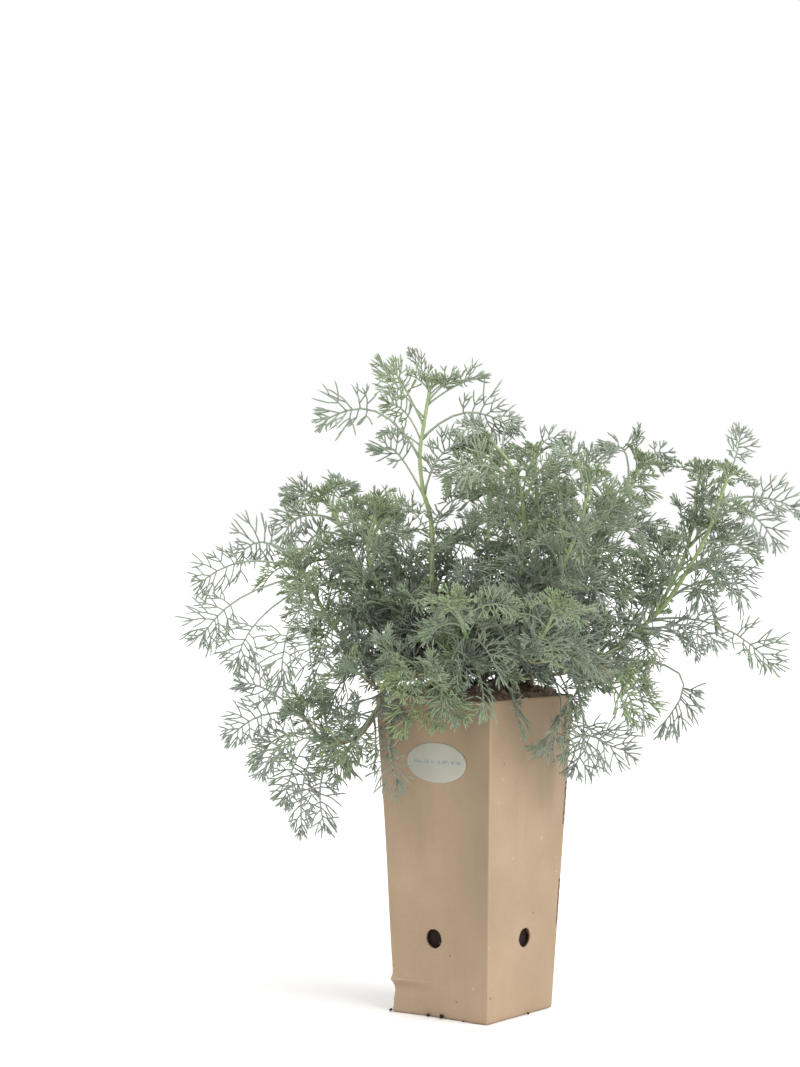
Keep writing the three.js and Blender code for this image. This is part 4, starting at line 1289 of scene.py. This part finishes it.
class Paint:
    """A material in the making. Its colour starts plain, and then takes one coat over the other."""

    def __init__(self, name):
        self.material = bpy.data.materials.new(name)
        self.material.use_nodes = True
        self.tree = self.material.node_tree
        self.tree.nodes.clear()
        output = self.tree.nodes.new("ShaderNodeOutputMaterial")
        self.shader = self.tree.nodes.new("ShaderNodeBsdfPrincipled")
        self.tree.links.new(self.shader.outputs[0], output.inputs[0])
        self.colour = None

    def feed(self, socket, value):
        if isinstance(value, bpy.types.NodeSocket):
            self.tree.links.new(value, socket)
        else:
            socket.default_value = value

    def node(self, kind, inputs, **settings):
        """A node whose inputs, by number or name, take a value or another node's output."""
        made = self.tree.nodes.new(kind)
        for key, value in settings.items():
            setattr(made, key, value)
        for key, value in inputs.items():
            self.feed(made.inputs[key], value)
        return made

    def maths(self, operation, a, b=0.0):
        return self.node("ShaderNodeMath", {0: a, 1: b}, operation=operation).outputs[0]

    def plus(self, a, b):
        return self.maths("ADD", a, b)

    def minus(self, a, b):
        return self.maths("SUBTRACT", a, b)

    def times(self, first, *others):
        for other in others:
            first = self.maths("MULTIPLY", first, other)
        return first

    def size_of(self, value):
        return self.maths("ABSOLUTE", value)

    def distance(self, vector, middle):
        return self.node("ShaderNodeVectorMath", {0: vector, 1: middle}, operation="DISTANCE").outputs[1]

    def position(self, stretch=(1, 1, 1)):
        """The place on the object in metres, each axis scaled to stretch or squeeze what depends on it."""
        coordinates = self.node("ShaderNodeTexCoord", {}).outputs["Object"]
        return self.node("ShaderNodeMapping", {"Vector": coordinates, "Scale": stretch}).outputs[0]

    def axes(self):
        return self.node("ShaderNodeSeparateXYZ", {"Vector": self.position()}).outputs

    def noise(self, scale, detail=3.0, roughness=0.5, stretch=(1, 1, 1)):
        inputs = {"Vector": self.position(stretch), "Scale": scale, "Detail": detail, "Roughness": roughness}
        return self.node("ShaderNodeTexNoise", inputs).outputs[0]

    def cells(self, scale, stretch=(1, 1, 1)):
        inputs = {"Vector": self.position(stretch), "Scale": scale}
        return self.node("ShaderNodeTexVoronoi", inputs).outputs["Distance"]

    def attribute(self, name):
        return self.node("ShaderNodeAttribute", {}, attribute_name=name).outputs["Fac"]

    def spread(self, value, low, high):
        """The value's range from low to high, stretched to 0 to 1."""
        inputs = {"Value": value, "From Min": low, "From Max": high}
        return self.node("ShaderNodeMapRange", inputs, clamp=True).outputs[0]

    def band(self, value, low, high):
        """The same for a length, with low and high in millimetres."""
        return self.spread(value, low * MM, high * MM)

    def mix(self, share, a, b):
        made = self.node("ShaderNodeMix", {0: share}, data_type="RGBA", blend_type="MIX")
        for number, colour in ((6, a), (7, b)):
            plain = not isinstance(colour, bpy.types.NodeSocket)
            self.feed(made.inputs[number], (*colour, 1) if plain else colour)
        return made.outputs[2]

    def coat(self, colour, mask, strength=1.0):
        """Lays a colour over what is there, as thick as the mask, from 0 to 1, times the strength."""
        self.colour = self.mix(self.times(mask, strength), self.colour, colour)

    def bump(self, height, strength, distance):
        inputs = {"Height": height, "Strength": strength, "Distance": distance * MM}
        made = self.node("ShaderNodeBump", inputs)
        self.tree.links.new(made.outputs[0], self.shader.inputs["Normal"])

    def finish(self, roughness, specular=0.5):
        self.tree.links.new(self.colour, self.shader.inputs["Base Color"])
        self.feed(self.shader.inputs["Roughness"], roughness)
        self.shader.inputs["Specular IOR Level"].default_value = specular
        return self.material


def leaf_material():
    """Grey-green to bright with youth, yellow beyond it, dull with age, and silver where the tone passes 1.
    Ribs are pale, threads end in painted shade, and leaves take painted shade inside the clump and painted
    light high on it."""
    paint = Paint("feathery_leaf")
    youth, tone, along = (paint.attribute(name) for name in ("youth", "tone", "along"))
    paint.colour = paint.mix(youth, paint.mix(tone, *GREY_LEAVES), paint.mix(tone, *BRIGHT_LEAVES))
    paint.coat(SILVER_LEAF, paint.spread(tone, 1.0, 2.0))
    paint.coat(YELLOW_LEAF, paint.spread(youth, 1.0, 1.4), 0.75)
    paint.coat(OLD_LEAF, paint.spread(youth, 0.0, -0.3), 0.6)
    paint.coat(LEAF_RIB, paint.spread(along, 0.32, 0.0), 0.5)
    # Painted shade: threads darken towards their ends.
    paint.coat(THREAD_END_SHADE, paint.spread(along, 0.9, 1.0), 0.4)
    paint.coat(LEAF_PATCH, paint.spread(paint.noise(60.0), 0.35, 0.68), 0.3)
    # Painted shade: leaves darken towards the middle of the clump.
    from_heart = paint.distance(paint.position(), [part * MM for part in CLUMP_HEART])
    paint.coat(SHADED_LEAF, paint.band(from_heart, 85, 30), 0.5)
    # Painted light: leaves lighten high on the clump.
    paint.coat(PAINTED_LIGHT_LEAF, paint.band(paint.axes()[2], 270, 350), 0.26)
    down = paint.spread(paint.noise(1400.0, 2.0), 0.4, 0.62)
    paint.coat(LEAF_DOWN, down, 0.2)
    paint.shader.inputs["Sheen Weight"].default_value = 0.25
    paint.shader.inputs["Sheen Roughness"].default_value = 0.5
    paint.bump(down, 0.3, 0.2)
    return paint.finish(0.62, 0.3)


def stem_material():
    """Green with blotches and pale streaks, and brown and woody towards the foot."""
    paint = Paint("ribbed_stem")
    grain = paint.noise(900.0, stretch=(1, 1, 0.12))
    blotch = paint.noise(90.0)
    paint.colour = paint.mix(paint.attribute("tone"), *GREEN_STEMS)
    paint.coat(STEM_BLOTCH, paint.spread(blotch, 0.4, 0.7))
    wood = paint.mix(paint.spread(blotch, 0.35, 0.65), *WOODY_STEMS)
    uneven_height = paint.plus(paint.axes()[2], paint.times(blotch, 30 * MM))
    paint.coat(wood, paint.band(uneven_height, WOODY_HEIGHT + 26, WOODY_HEIGHT - 8))
    paint.coat(STEM_STREAK, paint.spread(grain, 0.42, 0.6), 0.35)
    paint.bump(grain, 0.4, 0.3)
    return paint.finish(0.55, 0.35)


def kraft_material():
    """Brown board: fine fibre, flecks, cloudy tone, damp stains partly painted as shade of dents and flutes,
    and paler folds. The -Y face has painted shade towards its near fold, and a crease runs across it from the
    left fold, drawn as a painted highlight beside painted shade."""
    paint = Paint("kraft_board")
    x, y, height = paint.axes()
    clouds = paint.noise(22.0, 4.0)
    streaks = paint.noise(95.0, 4.0, stretch=(1, 1, 0.16))
    fibre = paint.noise(1500.0, stretch=(1, 1, 0.4))
    paint.colour = paint.mix(paint.spread(clouds, 0.33, 0.67), KRAFT_SHADE, KRAFT)
    paint.coat(KRAFT_SHADE, paint.spread(streaks, 0.45, 0.7), 0.35)
    paint.coat(scaled(KRAFT, 1.35), paint.spread(fibre, 0.35, 0.65), 0.16)
    # Stains, partly real damp and partly painted shade of the walls' dents and flutes.
    flattened = paint.position((1, 1, STAIN_AND_SHADE_STRETCH))
    for (aside, near, up), size, share, tint in STAINS_AND_SHADE:
        away = paint.distance(flattened, (aside * MM, near * MM, up * MM * STAIN_AND_SHADE_STRETCH))
        ragged = paint.plus(away, paint.times(clouds, 12 * MM))
        stain_and_shade = paint.times(paint.band(ragged, size + 12, size * 0.3 + 6), paint.spread(streaks, 0.2, 0.6))
        paint.coat(tint, stain_and_shade, share)

    widening = (POT_TOP - POT_BOTTOM) / POT_HEIGHT / 2
    half = paint.plus(paint.times(height, widening), POT_BOTTOM / 2 * MM)
    from_fold = paint.minus(half, paint.maths("MINIMUM", paint.size_of(x), paint.size_of(y)))
    # Paler along the folds.
    paler_by_fold = paint.band(paint.plus(from_fold, paint.times(streaks, 1.6 * MM)), 2.6, 0.9)
    paint.coat(scaled(KRAFT, 1.3), paler_by_fold, 0.14)
    front_face = paint.band(y, -20, -34)
    # Painted shade: the -Y face darkens towards its near fold, stopping just short of the fold itself.
    shade_beside_fold = paint.times(paint.band(x, 2, 43), front_face, paint.band(height, 10, 90))
    kept_off_edge = paint.band(paint.minus(half, x), 0, 1.2)
    paint.coat(KRAFT_FOLD_SHADE, paint.times(shade_beside_fold, kept_off_edge, paint.spread(clouds, 0.1, 0.6)), 0.95)

    # Painted highlight and painted shade along the crease on the -Y face: a light line on its ridge, a darker
    # band in its valley below.
    rise = paint.plus(paint.times(x, 0.06), paint.times(clouds, 4 * MM))
    off_crease = paint.minus(paint.minus(height, LEFT_CREASE_HEIGHT * MM), rise)
    creased = paint.times(paint.band(x, -6, -30), front_face)
    painted_ridge_light = paint.band(paint.size_of(off_crease), 0.9, 0.2)
    paint.coat(scaled(KRAFT, 1.35), paint.times(painted_ridge_light, creased), 0.4)
    painted_valley_shade = paint.band(paint.size_of(paint.plus(off_crease, 3 * MM)), 3.4, 0.4)
    paint.coat(KRAFT_CREASE_SHADE, paint.times(painted_valley_shade, creased), 0.4)

    chosen = paint.spread(paint.noise(40.0, 1.0), 0.56, 0.6)
    paint.coat(DARK_FLECK, paint.times(paint.spread(paint.cells(95.0), 0.085, 0.05), chosen), 0.75)
    paint.coat(PALE_FLECK, paint.spread(paint.cells(70.0, (1, 1.1, 0.9)), 0.08, 0.04), 0.35)
    paint.bump(paint.plus(fibre, paint.times(streaks, 1.4)), 0.35, 0.2)
    return paint.finish(paint.plus(paint.times(clouds, 0.2), 0.66), 0.25)


def cut_board_material():
    """The board's cut edge and torn slots: darker, reddish, with its layers showing as lines."""
    paint = Paint("board_cut_edge")
    layers = paint.noise(700.0, stretch=(1, 1, 2.5))
    paint.colour = paint.mix(paint.spread(layers, 0.35, 0.65), *CUT_BOARD)
    paint.bump(paint.noise(1200.0), 0.6, 0.4)
    return paint.finish(0.9)


def label_material():
    """Uncoated pale paper with two blocks of unreadable marks side by side."""
    paint = Paint("label_paper")
    x, _, height = paint.axes()
    fibre = paint.noise(1800.0)
    paint.colour = paint.mix(paint.spread(paint.noise(45.0), 0.35, 0.65), *LABEL_PAPER)
    paint.coat(PAPER_FIBRE, paint.spread(fibre, 0.4, 0.65), 0.15)
    off_line = paint.size_of(paint.minus(height, (LABEL_CENTRE_HEIGHT + 0.5) * MM))
    from_middle = paint.size_of(paint.minus(x, (LABEL_ASIDE + 0.5) * MM))
    blocks = paint.times(paint.band(from_middle, 18.5, 18), paint.band(from_middle, 0.6, 1.1))
    marks = paint.spread(paint.noise(1100.0, 1.0, stretch=(1, 1, 0.5)), 0.46, 0.54)
    paint.coat(LABEL_INK, paint.times(paint.band(off_line, 1.2, 0.8), blocks, marks), 0.62)
    paint.bump(fibre, 0.25, 0.1)
    return paint.finish(0.58, 0.35)


def soil_material(name, dark, light):
    """Peaty mix: dark crumb with browner patches and pale grit, nearly black lower down, as damp and as
    painted shade inside the pot.
    """
    paint = Paint(name)
    crumb = paint.noise(380.0, 5.0, 0.65)
    paint.colour = paint.mix(paint.spread(crumb, 0.35, 0.68), dark, light)
    paint.coat(scaled(light, 0.8), paint.spread(paint.noise(55.0), 0.4, 0.7), 0.5)
    few = paint.spread(paint.noise(120.0, 1.0), 0.55, 0.62)
    paint.coat(SOIL_GRIT, paint.times(paint.spread(paint.cells(260.0), 0.16, 0.1), few), 0.7)
    # Damp and painted shade: nearly black below the top of the soil.
    paint.coat(DAMP_SOIL_AND_SHADE, paint.band(paint.axes()[2], 192, 186), 0.96)
    paint.bump(crumb, 0.9, 1.2)
    return paint.finish(0.92, 0.2)


def fibre_material():
    paint = Paint("soil_fibre")
    grain = paint.noise(700.0)
    paint.colour = paint.mix(paint.attribute("tone"), *SOIL_FIBRES)
    paint.coat(FIBRE_STAIN, paint.spread(grain, 0.35, 0.65), 0.4)
    paint.bump(grain, 0.4, 0.3)
    return paint.finish(0.85)


def floor_material():
    paint = Paint("studio_floor")
    paint.colour = paint.mix(paint.spread(paint.noise(6.0, 2.0), 0.3, 0.7), *STUDIO_FLOOR)
    return paint.finish(0.9, 0.1)


leaf_skin = leaf_material()
stem_skin = stem_material()
for stem_number, shoot in enumerate(SHOOTS):
    stem = leafy_stem(stem_number, SHOOT_DEFAULTS | shoot)
    stem.data.materials.append(stem_skin)
    stem.data.materials.append(leaf_skin)
    place(stem, "foliage", shoot["name"])

board = kraft_material()
cut_board = cut_board_material()
place(cardboard_pot(board, cut_board), "pot_board", "cardboard_pot")
place(glued_flap(board), "pot_board")
place(slot_linings(cut_board), "pot_board")
place(plant_label(label_material()), "label_paper", "plant_label")
place(soil_block(soil_material("potting_mix", *POTTING_MIX)), "soil", "potting_soil")
soil_rng = np.random.default_rng(SOIL_SEED)
place(soil_crumbs(soil_material("soil_clods", *SOIL_CLODS), soil_rng), "soil")
place(soil_fibres(fibre_material(), soil_rng), "soil")


# Stage, light and camera

def studio_floor():
    corners = np.array([(-1, -1, 0), (1, -1, 0), (1, 1, 0), (-1, 1, 0)]) * FLOOR_REACH
    floor = skinned_object("studio_floor", (corners, [(0, 1, 2), (0, 2, 3)]), floor_material(), smooth=False)
    floor.location.z = -FLOOR_DROP * MM


def add_lamps():
    for name, strength, azimuth, elevation, width in LAMPS:
        lamp = bpy.data.lights.new(name, "SUN")
        lamp.energy = strength
        lamp.angle = math.radians(width)
        thing = bpy.data.objects.new(name, lamp)
        thing.rotation_euler = (math.radians(90 - elevation), 0, math.radians(azimuth))
        scene.collection.objects.link(thing)
    world = bpy.data.worlds.new("white_room")
    world.use_nodes = True
    world.node_tree.nodes["Background"].inputs[0].default_value = (1, 1, 1, 1)
    world.node_tree.nodes["Background"].inputs[1].default_value = 1.0
    scene.world = world


def add_camera():
    data = bpy.data.cameras.new("camera")
    data.lens = LENS
    data.sensor_width = SENSOR_WIDTH
    camera = bpy.data.objects.new("camera", data)
    ahead = np.array([-math.sin(VIEW_TURN), math.cos(VIEW_TURN)])
    right = np.array([math.cos(VIEW_TURN), math.sin(VIEW_TURN)])
    stand = -CAMERA_DISTANCE * ahead - CAMERA_ASIDE * right
    camera.location = (stand[0] * MM, stand[1] * MM, CAMERA_HEIGHT * MM)
    camera.rotation_euler = (math.pi / 2, 0, VIEW_TURN)
    scene.collection.objects.link(camera)
    scene.camera = camera


studio_floor()
add_lamps()
add_camera()
scene.view_settings.view_transform = "Standard"
